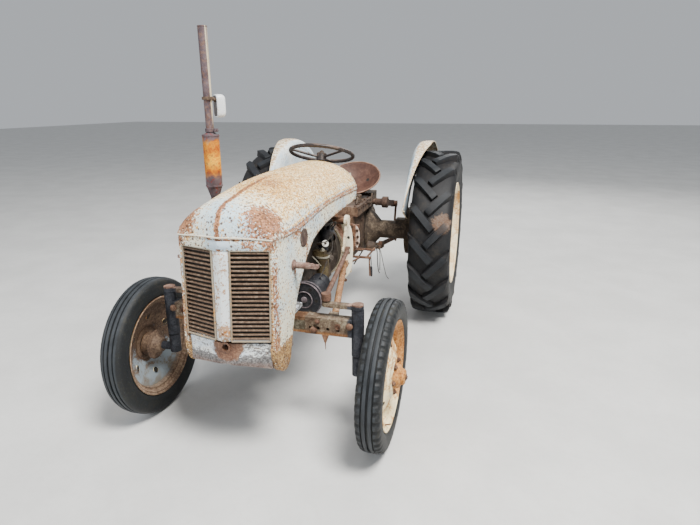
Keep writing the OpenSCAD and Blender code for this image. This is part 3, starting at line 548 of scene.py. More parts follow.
def apron_paint():
    """Scratched pale paint over dark steel, rusty round the crank hole and dark along the bottom."""
    M = Mat("apron_paint")
    x, y, z = M.sep(M.P)
    n1 = M.noise(12, 6, 0.68, 0.8)
    st = M.noise(1.0, 6, 0.7, 1.2, M.vec('MULTIPLY', M.P, (26, 26, 70)))
    f = M.noise(130, 4, 0.65)
    paint = M.mix(M.step(n1, 0.38, 0.62), (0.68, 0.74, 0.79), (0.84, 0.84, 0.80))
    dark = M.ramp(f, [(0.36, (0.05, 0.045, 0.045)), (0.5, (0.13, 0.125, 0.125)), (0.64, (0.26, 0.25, 0.24))])
    k = M.math('ADD', M.math('MULTIPLY', st, 0.65), M.math('MULTIPLY', f, 0.35))
    k = M.math('ADD', k, M.math('MULTIPLY', M.step(z, 0.545, 0.485), 0.22))
    k = M.math('ADD', k, M.math('MULTIPLY', M.step(x, 0.05, 0.19), 0.07))
    col = M.mix(M.step(k, 0.52, 0.58), paint, dark)
    rust = M.ramp(M.math('ADD', M.math('MULTIPLY', n1, 0.5), M.math('MULTIPLY', f, 0.5)), [(0.38, (0.075, 0.042, 0.030)), (0.5, (0.18, 0.100, 0.070)), (0.62, (0.32, 0.21, 0.15))])
    b = M.math('ADD', M.blob((0, -345, 562), 74, (0.8, 1, 1)), M.math('MULTIPLY', M.math('SUBTRACT', n1, 0.5), 1.2))
    col = M.mix(M.step(b, 0.10, 0.26), col, rust)
    e = M.math('ADD', z, M.math('MULTIPLY', M.math('SUBTRACT', n1, 0.5), 0.07))
    col = M.mix(M.math('MULTIPLY', M.step(e, 0.505, 0.485), 0.75), col, M.mix(0.5, rust, dark))
    M.bump(M.math('ADD', st, M.math('MULTIPLY', f, 0.5)), 0.45, 0.002)
    return M.finish(col, 0.55, 0.0, 0.4)


m_apron = apron_paint()
m_fender = worn_paint("fender_paint", (0.76, 0.81, 0.83), (0.66, 0.73, 0.77), rust=0.05, speck=0.12, seed=3.3, pits=0.5, tint=(0.42, 0.26, 0.15))
m_fender_edge = worn_paint("fender_edge_paint", (0.80, 0.74, 0.60), (0.60, 0.48, 0.34), rust=0.35, speck=0.5, seed=3.9)


def fender_paint():
    """Pale blue-white, tan specks on the outer flange and painted shade in blue-black low down at the front."""
    M = Mat("fender_paint")
    x, y, z = M.sep(M.P)
    ax = M.math('ABSOLUTE', x)
    n1 = M.noise(7, 5, 0.65, 0.4)
    f1 = M.noise(64, 2, 0.6)
    f2 = M.noise(110, 1, 0.5)
    base = M.mix(M.step(n1, 0.38, 0.62), (0.56, 0.65, 0.71), (0.78, 0.81, 0.79))
    fl = M.step(M.math('ADD', ax, M.math('MULTIPLY', M.math('SUBTRACT', n1, 0.5), 0.03)), 0.482, 0.500)
    # painted shade: the left fender (x beyond 0.3 m) gets a darker blue-grey base than the right one
    base = M.mix(M.step(x, 0.10, 0.30), base, M.mix(M.step(n1, 0.38, 0.62), (0.30, 0.37, 0.43), (0.50, 0.55, 0.56)))
    base = M.mix(M.math('MULTIPLY', fl, 0.7), base, (0.88, 0.80, 0.64))
    A = M.math('ADD', M.math('MULTIPLY', fl, 0.48), M.math('MULTIPLY', M.math('SUBTRACT', n1, 0.5), 0.7))
    sp = M.step(M.math('ADD', f1, M.math('MULTIPLY', M.math('SUBTRACT', A, 0.42), 0.36)), 0.475, 0.535)
    col = M.mix(M.math('MULTIPLY', sp, 0.8), base, (0.40, 0.25, 0.13))
    col = M.mix(M.math('MULTIPLY', M.step(f2, 0.62, 0.67), 0.6), col, (0.30, 0.24, 0.19))
    vd = M.voronoi(30)
    cell = M.sep(M.voronoi(30, out="Color"))
    dot = M.math('MULTIPLY', M.step(vd, 0.16, 0.09), M.step(cell[0], 0.86, 0.88))
    col = M.mix(M.math('MULTIPLY', dot, 0.85), col, (0.06, 0.05, 0.05))
    # painted shade: blue-black over the lower front of the fender
    low = M.step(M.math('ADD', z, M.math('MULTIPLY', M.math('SUBTRACT', n1, 0.5), 0.12)), 0.94, 0.80)
    col = M.mix(M.math('MULTIPLY', low, 0.92), col, M.mix(M.step(f1, 0.45, 0.55), (0.018, 0.020, 0.026), (0.055, 0.060, 0.070)))
    M.bump(M.math('ADD', f1, n1), 0.3, 0.001)
    return M.finish(col, 0.55, 0.0, 0.4)


m_fender = fender_paint()
m_cream = worn_paint("cream_paint", (0.80, 0.76, 0.64), (0.66, 0.60, 0.48), rust=0.25, speck=0.2, seed=5.1, pits=0.8)
m_orange = iron("orange_rust", (0.065, 0.033, 0.023), (0.150, 0.082, 0.054), (0.31, 0.20, 0.14), 16, 3.0, 0.78, 0.5, dirt_and_underside_shade_amt=0.8)
m_brown = iron("brown_rust", (0.085, 0.045, 0.026), (0.20, 0.105, 0.058), (0.37, 0.23, 0.135), 18, 5.0, 0.8, 0.6)
m_rod = iron("rod_rust", (0.045, 0.025, 0.018), (0.105, 0.060, 0.043), (0.25, 0.165, 0.12), 26, 7.0, 0.72, 0.35)
m_dark = iron("dark_iron", (0.022, 0.017, 0.014), (0.060, 0.042, 0.031), (0.150, 0.105, 0.075), 14, 9.0, 0.7, 0.6)
m_axle = iron("axle_iron", (0.016, 0.013, 0.011), (0.062, 0.047, 0.036), (0.200, 0.160, 0.120), 15, 11.0, 0.8, 0.6)
m_black = iron("black_paint", (0.006, 0.006, 0.008), (0.015, 0.016, 0.020), (0.050, 0.049, 0.050), 20, 4.0, 0.55, 0.3)
m_engine = iron("engine_grime", (0.016, 0.013, 0.011), (0.042, 0.034, 0.028), (0.12, 0.10, 0.085), 16, 13.0, 0.65, 0.5)
m_alloy = iron("dull_alloy", (0.16, 0.145, 0.12), (0.38, 0.36, 0.30), (0.66, 0.63, 0.54), 30, 2.5, 0.5, 0.3, metal=0.6)
m_filter = iron("filter_olive", (0.020, 0.014, 0.010), (0.055, 0.041, 0.023), (0.16, 0.130, 0.080), 24, 6.5, 0.55, 0.3)
m_seat = iron("seat_rust", (0.045, 0.022, 0.018), (0.085, 0.046, 0.036), (0.150, 0.088, 0.068), 11, 8.0, 0.62, 0.3, dirt_and_underside_shade_amt=0.2)
m_seat_rim = iron("seat_rim_rust", (0.13, 0.075, 0.055), (0.24, 0.15, 0.115), (0.38, 0.27, 0.21), 22, 8.5, 0.65, 0.3, dirt_and_underside_shade_amt=0.2)
m_wire = iron("wire_black", (0.012, 0.011, 0.010), (0.03, 0.026, 0.022), (0.07, 0.06, 0.05), 60, 1.0, 0.6, 0.1)
# near-black: the radiator core, and also painted shade in holes and behind the grille
m_core_and_shade = iron("radiator_core_and_painted_shade", (0.008, 0.008, 0.008), (0.02, 0.018, 0.016), (0.05, 0.045, 0.038), 60, 3.5, 0.8, 0.3)
m_drum = iron("drum_black", (0.022, 0.019, 0.017), (0.055, 0.047, 0.040), (0.11, 0.095, 0.08), 15, 15.0, 0.75, 0.5)


HOT = (-250, 150, 1275)             # side of the silencer where the heat scale is brightest


def stack_mat():
    M = Mat("stack_finish")
    z = M.sep(M.P)[2]
    n1 = M.noise(18, 6, 0.65, 0.5)
    n2 = M.noise(66, 3, 0.65)
    base = M.ramp(n1, [(0.3, (0.036, 0.026, 0.028)), (0.5, (0.078, 0.058, 0.064)), (0.7, (0.15, 0.115, 0.122))])
    rust = M.ramp(M.math('ADD', M.math('MULTIPLY', n1, 0.5), M.math('MULTIPLY', n2, 0.5)),
                  [(0.36, (0.22, 0.060, 0.035)), (0.45, (0.55, 0.20, 0.055)), (0.53, (0.85, 0.45, 0.12)), (0.64, (0.95, 0.68, 0.30))])
    wob = M.math('MULTIPLY', M.math('SUBTRACT', n1, 0.5), 0.10)
    zz = M.math('ADD', z, wob)
    x = M.sep(M.P)[0]
    rust = M.mix(M.math('MULTIPLY', M.blob((HOT[0], HOT[1], HOT[2]), 95, (1, 1, 1.9)), 0.85), M.mix(0.55, rust, (0.26, 0.075, 0.045)),
                 M.ramp(n2, [(0.36, (0.62, 0.22, 0.04)), (0.50, (0.92, 0.52, 0.11)), (0.62, (0.98, 0.70, 0.24))]))
    m = M.math('MULTIPLY', M.step(zz, 1.19, 1.225), M.step(zz, 1.385, 1.36))
    up = M.math('MULTIPLY', M.math('MULTIPLY', M.step(n2, 0.48, 0.60), M.step(zz, 1.40, 1.42)), 0.10)
    col = M.mix(M.math('ADD', m, up, clamp=True), base, rust)
    # painted highlight: a thin cream line down the +x edge of the upper pipe
    pale = M.math('MULTIPLY', M.near(M.math('SUBTRACT', x, -0.2706), 0.0022), M.step(z, 1.40, 1.50))
    col = M.mix(M.math('MULTIPLY', pale, 0.8), col, (0.72, 0.64, 0.48))
    col = M.mix(M.math('MULTIPLY', M.step(n2, 0.57, 0.64), M.math('MULTIPLY', M.step(z, 1.43, 1.40), 0.7)), col, (0.16, 0.035, 0.030))
    M.bump(M.math('ADD', n2, M.math('MULTIPLY', m, 0.4)), 0.3, 0.001)
    return M.finish(col, 0.68, 0.0, 0.35)


def rim_mat(name, centre, outward, outer_a, outer_b, inner_a, inner_b, seed, wall_r, centre_x, wall_rust, rust_out=0.42, rust_in=0.45, plate=0.0):
    """Painted wheel: cream outside, brown bands on the rim's wall and a pale patch low down inside."""
    M = Mat(name)
    sv = M.vec('ADD', M.P, (seed, seed, seed))
    low = M.noise(10, 6, 0.65, 0.6, sv)
    fine = M.noise(95, 4, 0.66, 0.0, sv)
    axial = M.math('SUBTRACT', M.math('MULTIPLY', M.sep(M.P)[0], outward), centre_x / 1000.0)
    side = M.step(M.math('ADD', M.math('MULTIPLY', M.sep(M.Nn)[0], outward), M.math('MULTIPLY', axial, 9.0)), -0.12, 0.12)
    kk = M.math('ADD', M.math('MULTIPLY', low, 0.4), M.math('MULTIPLY', fine, 0.6))
    rust = M.ramp(kk, [(0.38, (0.10, 0.045, 0.027)), (0.46, (0.36, 0.175, 0.080)), (0.60, (0.58, 0.36, 0.19))])
    rin = M.ramp(kk, [(0.38, (0.030, 0.020, 0.016)), (0.48, (0.085, 0.056, 0.042)), (0.62, (0.20, 0.145, 0.105))])
    band = M.ramp(kk, [(0.38, (0.075, 0.047, 0.033)), (0.48, (0.19, 0.130, 0.094)), (0.62, (0.38, 0.29, 0.215))])
    po = M.mix(M.step(low, 0.4, 0.6), outer_a, outer_b)
    pi = M.mix(M.step(low, 0.4, 0.6), inner_a, inner_b)
    rr = M.radius(centre)
    dy = M.math('SUBTRACT', M.sep(M.P)[1], (centre[1] - MID_Y) / 1000.0)
    dz = M.math('SUBTRACT', M.sep(M.P)[2], centre[2] / 1000.0)
    wall = M.step(rr, (wall_r - 6) / 1000, (wall_r + 3) / 1000)
    k = M.math('ADD', M.math('MULTIPLY', low, 0.62), M.math('MULTIPLY', fine, 0.45))
    ko = M.math('ADD', k, M.math('MULTIPLY', wall, M.math('MULTIPLY', M.step(M.math('ADD', dz, dy), -0.10, 0.14), wall_rust)))
    ko = M.math('ADD', ko, M.math('MULTIPLY', M.step(rr, 0.095, 0.060), 0.16))
    ko = M.math('ADD', ko, M.math('MULTIPLY', M.step(dz, -0.02, 0.14), 0.04))
    co = M.mix(M.step(ko, 0.62 - rust_out * 0.2, 0.68 - rust_out * 0.2), po, rust)
    ki = M.math('ADD', k, M.math('MULTIPLY', dz, 0.9))
    ki = M.math('ADD', ki, M.math('MULTIPLY', M.step(rr, 0.10, 0.08), 0.2))
    inside = M.step(axial, 0.055, 0.035)
    side = M.math('MULTIPLY', side, M.math('SUBTRACT', 1.0, M.math('MULTIPLY', inside, M.step(rr, 0.105, 0.098))))
    ci = M.mix(M.step(ki, 0.62 - rust_in * 0.2, 0.70 - rust_in * 0.2), pi, rin)
    if plate:
        ring = M.near(M.math('SUBTRACT', rr, plate), 0.006)
        ci = M.mix(ring, ci, (0.05, 0.03, 0.02))
    ci = M.mix(wall, ci, band)
    # painted shade: dark rings in the creases of the rolled rim's steps, on the inside
    for q in (0.006, 0.026):
        ci = M.mix(M.math('MULTIPLY', M.near(M.math('SUBTRACT', rr, wall_r / 1000 + q), 0.004), 0.7), ci, (0.05, 0.033, 0.025))
    col = M.mix(side, ci, co)
    M.bump(M.math('ADD', M.math('MULTIPLY', fine, 0.7), low), 0.45, 0.0014)
    return M.finish(col, M.math('ADD', 0.50, M.math('MULTIPLY', k, 0.35), clamp=True), 0.0, 0.4)


def wheel_rim_mat():
    M = Mat("steering_wheel_finish")
    n1 = M.noise(16, 5, 0.65, 0.4)
    n2 = M.noise(120, 4, 0.6)
    nz = M.sep(M.Nn)[2]
    worn = M.step(M.math('ADD', M.math('MULTIPLY', n1, 0.8), M.math('MULTIPLY', nz, 0.12)), 0.46, 0.56)
    col = M.mix(worn, (0.018, 0.014, 0.013), (0.100, 0.072, 0.058))
    col = M.mix(M.math('MULTIPLY', M.step(n2, 0.55, 0.65), 0.5), col, (0.12, 0.07, 0.05))
    M.bump(n2, 0.2, 0.0008)
    return M.finish(col, 0.5, 0.0, 0.45)


m_stack = stack_mat()
m_steer = wheel_rim_mat()
m_mirror_shell = worn_paint("mirror_shell", (0.74, 0.76, 0.78), (0.66, 0.68, 0.70), rust=0.0, speck=0.0, seed=9.0, pits=0.15, rough=0.45)


def plain(name, col, rough, metal=0.0, n=0.06):
    M = Mat(name)
    a = M.noise(35, 5, 0.6)
    c = M.mix(M.step(a, 0.35, 0.7), tuple(x * (1 - n * 3) for x in col), col)
    M.bump(M.noise(160, 3, 0.6), 0.12, 0.0006)
    return M.finish(c, M.math('ADD', rough, M.math('MULTIPLY', a, 0.12)), metal)


# the mirror's glass as a flat brown: painted reflection
m_glass_painted_reflection = plain("mirror_glass_painted_reflection", (0.11, 0.075, 0.060), 0.28, 0.0, 0.25)
m_porcelain = plain("porcelain", (0.72, 0.70, 0.64), 0.3)
m_brass = iron("old_brass", (0.20, 0.13, 0.05), (0.36, 0.26, 0.11), (0.48, 0.38, 0.2), 40, 5.5, 0.45, 0.2, metal=0.7)
m_gauge = plain("gauge_face", (0.10, 0.10, 0.10), 0.25)
m_hose = plain("hose_rubber", (0.035, 0.034, 0.034), 0.7)

m_ftyre = rubber("front_tyre_rubber", (0, 0, 348), 342.5, 345.5, (0.005, 0.006, 0.007), (0.027, 0.031, 0.036), (0.030, 0.028, 0.020), 1.0, 0.55)
m_rtyre = rubber("rear_tyre_rubber", (0, 1778, 601), 588, 597, (0.004, 0.004, 0.005), (0.009, 0.011, 0.014), (0.030, 0.025, 0.020), 4.0, 0.6,
                 worn=((722, 1213, 795), 100, (0.20, 0.155, 0.125), (0.12, 0.062, 0.036)))
CZF = 348 * math.cos(math.radians(1.3)) + 42 * math.sin(math.radians(1.3))
m_frim = {1: rim_mat("front_rim_finish_left", (0, 0, CZF), 1.0, (0.90, 0.80, 0.56), (0.84, 0.68, 0.42), (0.44, 0.50, 0.55), (0.36, 0.36, 0.35), 2.1, 214, 602, 0.17, 0.36, 0.85, 0.085),
          -1: rim_mat("front_rim_finish_right", (0, 0, CZF), -1.0, (0.90, 0.80, 0.56), (0.84, 0.68, 0.42), (0.27, 0.31, 0.34), (0.20, 0.19, 0.17), 5.7, 214, 602, 0.17, 0.36, 0.95, 0.085)}
m_rrim = {1: rim_mat("rear_rim_finish_left", (0, 1778, 601), 1.0, (0.84, 0.75, 0.56), (0.74, 0.58, 0.38), (0.30, 0.27, 0.24), (0.24, 0.20, 0.17), 3.1, 322, 634, 0.04, 0.10, 0.9),
          -1: rim_mat("rear_rim_finish_right", (0, 1778, 601), -1.0, (0.80, 0.80, 0.75), (0.72, 0.69, 0.60), (0.30, 0.27, 0.24), (0.24, 0.20, 0.17), 6.1, 322, 634, 0.02, 0.12, 0.9)}

m_radius = iron("radius_rod_rust", (0.12, 0.055, 0.030), (0.27, 0.155, 0.090), (0.56, 0.42, 0.30), 30, 7.0, 0.72, 0.4)
m_link = iron("link_rust", (0.048, 0.027, 0.021), (0.105, 0.060, 0.045), (0.25, 0.16, 0.12), 30, 3.0, 0.68, 0.35)
m_lift = iron("lift_rust", (0.022, 0.014, 0.011), (0.055, 0.034, 0.026), (0.135, 0.090, 0.068), 24, 6.0, 0.75, 0.6)


def zoned(name, zones, scale=20.0, seed=0.0, bump=0.6, rough=0.7):
    """Iron whose tones change along one axis. Zones: list of (ramp of three tones), blended by masks."""
    M = Mat(name)
    sv = M.vec('ADD', M.P, (seed, seed * 0.6, -seed))
    n1 = M.noise(scale, 7, 0.68, 0.6, sv)
    n2 = M.noise(scale * 5.5, 5, 0.66, 0.2, sv)
    k = M.math('ADD', M.math('MULTIPLY', n1, 0.6), M.math('MULTIPLY', n2, 0.4))
    x, y, z = M.sep(M.P)
    v = {"x": M.math('ABSOLUTE', x), "y": M.math('ADD', y, MID_Y / 1000), "z": z}
    col = None
    for tones, axis, lo, hi in zones:
        c = M.ramp(k, [(0.38, tones[0]), (0.50, tones[1]), (0.62, tones[2])])
        if col is None:
            col = c
        else:
            f = M.math('ADD', v[axis], M.math('MULTIPLY', M.math('SUBTRACT', n1, 0.5), 0.02))
            col = M.mix(M.step(f, lo, hi), col, c)
    n3 = M.noise(scale * 20, 3, 0.6, 0.0, sv)
    col = M.mix(M.math('MULTIPLY', M.step(n3, 0.52, 0.66), 0.45), col, (0.03, 0.02, 0.016))
    M.bump(M.math('ADD', M.math('MULTIPLY', n2, 0.8), M.math('MULTIPLY', n3, 0.4)), bump, 0.0016)
    return M.finish(col, M.math('ADD', rough - 0.1, M.math('MULTIPLY', n2, 0.2), clamp=True), 0.0, 0.35)


PLATE = ((0.052, 0.030, 0.020), (0.125, 0.093, 0.068), (0.33, 0.285, 0.215))
TUBE = ((0.009, 0.010, 0.013), (0.022, 0.025, 0.032), (0.060, 0.062, 0.072))
PINK = ((0.075, 0.042, 0.032), (0.165, 0.105, 0.082), (0.34, 0.25, 0.205))
BROWN = ((0.085, 0.045, 0.026), (0.20, 0.105, 0.058), (0.37, 0.23, 0.135))
DARK = ((0.030, 0.022, 0.018), (0.075, 0.052, 0.040), (0.16, 0.115, 0.085))
WEB = ((0.026, 0.020, 0.015), (0.068, 0.055, 0.038), (0.20, 0.185, 0.14))
FLANGE = ((0.045, 0.023, 0.014), (0.105, 0.057, 0.034), (0.25, 0.165, 0.108))
m_oval = iron("oval_plate", (0.020, 0.012, 0.010), (0.066, 0.040, 0.032), (0.19, 0.150, 0.125), 30, 4.0, 0.6, 0.3)
m_beam = zoned("beam_finish", [(BROWN, "z", 0, 0), (WEB, "z", 0.534, 0.542), (FLANGE, "z", 0.584, 0.590)], 22, 5.0, 0.8)
m_arms = zoned("axle_arm_finish", [(BROWN, "z", 0, 0), (PLATE, "z", 0.530, 0.545), (TUBE, "x", 0.433, 0.444)], 26, 2.0, 0.7)
m_spindle = zoned("spindle_finish", [(TUBE, "x", 0, 0), (PINK, "z", 0.668, 0.674), (PLATE, "x", 0.440, 0.425)], 26, 4.0, 0.5)
m_clutch = zoned("clutch_finish", [(((0.20, 0.14, 0.09), (0.58, 0.49, 0.36), (0.80, 0.73, 0.58)), "y", 0, 0), (((0.07, 0.038, 0.026), (0.19, 0.110, 0.078), (0.44, 0.32, 0.25)), "y", 0.776, 0.784)], 20, 2.0, 0.7)
m_flange = worn_paint("flange_paint", (0.90, 0.84, 0.68), (0.80, 0.74, 0.60), rust=0.16, speck=0.25, seed=12.0, pits=0.9, tint=(0.36, 0.20, 0.11))
m_droparm = zoned("drop_arm_paint", [(((0.34, 0.24, 0.15), (0.76, 0.68, 0.52), (0.90, 0.85, 0.72)), "z", 0, 0), (((0.05, 0.028, 0.021), (0.14, 0.080, 0.058), (0.32, 0.22, 0.16)), "z", 0.735, 0.715)], 26, 8.0, 0.5)
m_flange2 = zoned("second_flange_paint", [(((0.07, 0.038, 0.026), (0.17, 0.095, 0.066), (0.36, 0.25, 0.19)), "x", 0, 0), (((0.16, 0.09, 0.07), (0.66, 0.54, 0.46), (0.84, 0.78, 0.70)), "x", 0.213, 0.221)], 30, 3.0, 0.5)
m_lampbar = iron("lamp_bar_rust", (0.085, 0.048, 0.038), (0.195, 0.128, 0.108), (0.46, 0.37, 0.32), 34, 14.0, 0.7, 0.4)
m_pulley = iron("pulley_rim", (0.05, 0.038, 0.040), (0.13, 0.110, 0.118), (0.30, 0.27, 0.28), 40, 4.4, 0.5, 0.2)
m_trans = zoned("transmission_finish", [(((0.10, 0.055, 0.036), (0.22, 0.130, 0.085), (0.40, 0.27, 0.19)), "y", 0, 0), (DARK, "y", 1.05, 1.35)], 16, 6.0, 0.7)

# ------------------------------------------------------------------ CAD pieces that stay
CAD_MATS = {
    "engine_block": m_engine, "cylinder_head": m_engine, "radiator": m_core_and_shade, "fan": m_brown, "dynamo": m_black,
    "oil_filter": m_filter, "distributor": m_black, "manifold": m_brown, "exhaust_stack": m_stack, "fuel_tank": m_black,
    "instrument_panel": m_cream, "steering_column": m_orange, "clutch_housing": m_clutch, "transmission": m_trans,
    "rear_axle_centre": m_axle, "axle_trumpets": m_axle, "seat_spring": m_brown, "front_axle_bracket": m_apron,
    "axle_beam": m_beam, "axle_arms": m_arms, "radius_rods": m_radius, "footrest_rods": m_rod, "pedals": m_rod,
    "gear_lever": m_dark, "drawbar": m_brown, "pto_shaft": m_rod, "top_link_bracket": m_brown, "lamp_brackets": m_lampbar,
    "spindle_left": m_spindle, "spindle_right": m_spindle, "steering_wheel": m_steer,
    "drop_arm_left": m_droparm, "drop_arm_right": m_droparm, "drag_link_left": m_link, "drag_link_right": m_link,
    "lift_arms": m_lift, "lift_rod_left": m_rod, "lift_rod_right": m_rod, "lower_link_left": m_rod, "lower_link_right": m_rod,
}
for node, m in CAD_MATS.items():
    o = N[node]
    o.data.materials.clear()
    o.data.materials.append(m)

# rounded edges on cast and forged pieces
for node, r in {"engine_block": 6, "cylinder_head": 6, "clutch_housing": 4, "transmission": 8, "rear_axle_centre": 8,
                "axle_trumpets": 5, "steering_column": 6, "front_axle_bracket": 2.5, "axle_beam": 1.5, "axle_arms": 3,
                "lift_arms": 3, "lower_link_left": 2.5, "lower_link_right": 2.5, "drawbar": 2.5, "fuel_tank": 5,
                "radiator": 3, "drop_arm_left": 2, "drop_arm_right": 2, "manifold": 4, "dynamo": 3, "spindle_left": 2,
                "spindle_right": 2, "top_link_bracket": 2, "lift_rod_left": 1.5, "lift_rod_right": 1.5, "instrument_panel": 1}.items():
    b = N[node].modifiers.new("edges", 'BEVEL')
    b.width = r / 1000.0
    b.segments = 2
    b.limit_method = 'ANGLE'
    b.angle_limit = math.radians(40)
    b.harden_normals = False

# ------------------------------------------------------------------ bonnet
# columns: crown y, crown z, side y, side z, half width, lower edge y, z, half width
SECT = np.array([
    [-338, 1026, -283, 1018, 206, -303, 598, 207],
    [-340, 1034, -282, 1022, 208, -302, 560, 208],
    [-332, 1080, -276, 1023, 211, -297, 512, 209],
    [-310, 1126, -258, 1022, 215, -268, 455, 211],
    [-262, 1150, -222, 1018, 218, -210, 432, 212],
    [-215, 1159, -190, 1015, 219, -162, 464, 213],
    [-175, 1166, -160, 1013, 220, -142, 540, 214],
    [-60, 1184, -60, 1011, 223, -72, 710, 217],
    [50, 1196, 50, 1022, 226, 39, 842, 220],
    [110, 1201, 110, 1030, 228, 106, 894, 221],
    [177, 1204, 177, 1038, 229, 184, 934, 222],
    [366, 1210, 366, 1054, 233, 366, 967, 226],
    [620, 1212, 620, 1052, 238, 620, 984, 231],
    [829, 1211, 870, 1046, 242, 878, 992, 235]], float)


def smooth_sections(k=5):
    return spline(SECT, (len(SECT) - 1) * k + 1)


def bonnet_profile(s, i, n):
    """Right half of one section, from the crown to the lower edge."""
    yc, zc, ys, zs, hw, yl, zl, hl = s
    pts = []
    na = 26
    for k in range(na + 1):
        t = 0.5 * math.pi * k / na
        x = hw * math.sin(t)
        y = ys + (yc - ys) * (1 - math.sin(t))
        z = zs + (zc - zs) * math.cos(t)
        # low ridge along the centre, fading towards the dash
        rid = 4.0 * math.exp(-(x / 13.0) ** 2) * max(0.0, 1 - i / (0.75 * n))
        z += rid
        # double swage line just above the side's lower strip
        d = zc - z if False else z - zs
        bead = 0.0
        for c0 in (9.0, 30.0):
            bead += 3.2 * math.exp(-((d - c0) / 5.0) ** 2)
        if k > na * 0.4:
            x += bead
        pts.append((x, y, z))
    # the same points, copied; no rows are added across the swage lines
    fine = []
    for (a, b) in zip(pts[:-1], pts[1:]):
        fine.append(a)
    fine.append(pts[-1])
    return fine


def bead_profile(s, i, n):
    yc, zc, ys, zs, hw, yl, zl, hl = s
    ts = list(np.linspace(0, 62, 22)) + list(np.linspace(64, 90, 22))
    pts = []
    for td in ts:
        t = math.radians(td)
        x = hw * math.sin(t)
        y = ys + (yc - ys) * (1 - math.sin(t))
        z = zs + (zc - zs) * math.cos(t)
        z += 4.5 * math.exp(-(x / 12.0) ** 2) * max(0.0, 1 - i / (0.70 * n))
        d = z - zs
        if td > 40:
            x += 3.0 * math.exp(-((d - 8.0) / 4.5) ** 2) + 3.0 * math.exp(-((d - 27.0) / 4.5) ** 2)
        pts.append((x, y, z))
    # lower strip or side panel below the bead
    x0, y0, z0 = hw - 2.0, ys, zs - 4
    for f in (0.0, 0.06, 0.25, 0.5, 0.75, 0.94, 1.0):
        pts.append((x0 + (hl + 1.0 - x0) * min(1, f * 1.0), y0 + (yl - y0) * f, z0 + (zl - z0) * f))
    # turned-in lower lip
    pts.append((hl - 3.0, yl, zl + 1.5))
    return pts


S = smooth_sections(5)
rows = []
for i, s in enumerate(S):
    h = bead_profile(s, i, len(S))
    left = [(-x, y, z) for x, y, z in h[:0:-1]]
    rows.append(left + h)
g = Geo().grid(rows, flip=True)
bon = g.out("bonnet_skin", m_bonnet, "bonnet", angle=50, replaces=["bonnet_shell"], slot="bonnet_paint")
sol = bon.modifiers.new("sheet", 'SOLIDIFY')
sol.thickness = 0.0025
sol.offset = -1.0

# lip over the grille: a rolled edge along the nose
lip = []
for t in np.linspace(-1, 1, 61):
    x = 209 * t
    y = -282 + (-342 + 282) * (1 - abs(math.sin(math.radians(90 * min(1, abs(t)))))) if False else -283 - 58 * (1 - abs(t))
    z = 1022 + 12 * math.cos(math.radians(90 * abs(t)))
    lip.append((x, y, z))
Geo().tube(lip, 3.6, 10).out("bonnet_lip", m_cream, "bonnet", slot="bonnet_paint")
# band under the lip
band = []
for t in np.linspace(-1, 1, 41):
    x = 207 * t
    y = -283 - 53 * (1 - abs(t)) + 1.5
    band.append([(x, y, 1030 - 8 * abs(t)), (x, y - 1.5, 1005), (x, y - 1.0, 986), (x, y + 1.5, 980), (x, y + 9, 979)])
o = Geo().grid(band, flip=True).out("bonnet_band", m_bonnet, "bonnet", angle=55, slot="bonnet_paint")
k = o.modifiers.new("sheet", 'SOLIDIFY'); k.thickness = 0.003; k.offset = -1.0
# blank badge plate in the middle of the band
g = Geo()
for sgn in (1, -1):
    prof = []
    for x in np.linspace(0, 44, 6):
        y = -283 - 53 * (1 - x / 207) - 3.0
        prof.append([(sgn * x, y + 2.5, 1022), (sgn * x, y, 1019), (sgn * x, y - 0.6, 1003), (sgn * x, y, 988), (sgn * x, y + 2.5, 985)])
    g.grid(prof, flip=(sgn > 0))
o = g.out("badge_plate_blank", m_badge, "bonnet", angle=60, slot="grey_paint")
# creased strip between the grilles
rows = []
for z in np.linspace(984, 600, 14):
    y = -336 - (984 - z) * (23.4 / 384)
    hwid = 33 - 4 * (984 - z) / 384
    rows.append([(-hwid, y + 17, z), (-hwid, y + 9.5, z), (-hwid * 0.94, y + 8.2, z), (-hwid * 0.5, y + 4.2, z), (-2, y - 0.6, z), (2, y - 0.6, z), (hwid * 0.5, y + 4.2, z), (hwid * 0.94, y + 8.2, z), (hwid, y + 9.5, z), (hwid, y + 17, z)])
rows = [[tuple(np.array(p) + np.array([0, 4.5, 0])) for p in row] for row in rows]
o = Geo().grid(rows, flip=False).out("nose_strip", m_pale, "bonnet", angle=50, slot="grey_paint")
k = o.modifiers.new("sheet", 'SOLIDIFY'); k.thickness = 0.002; k.offset = -1.0
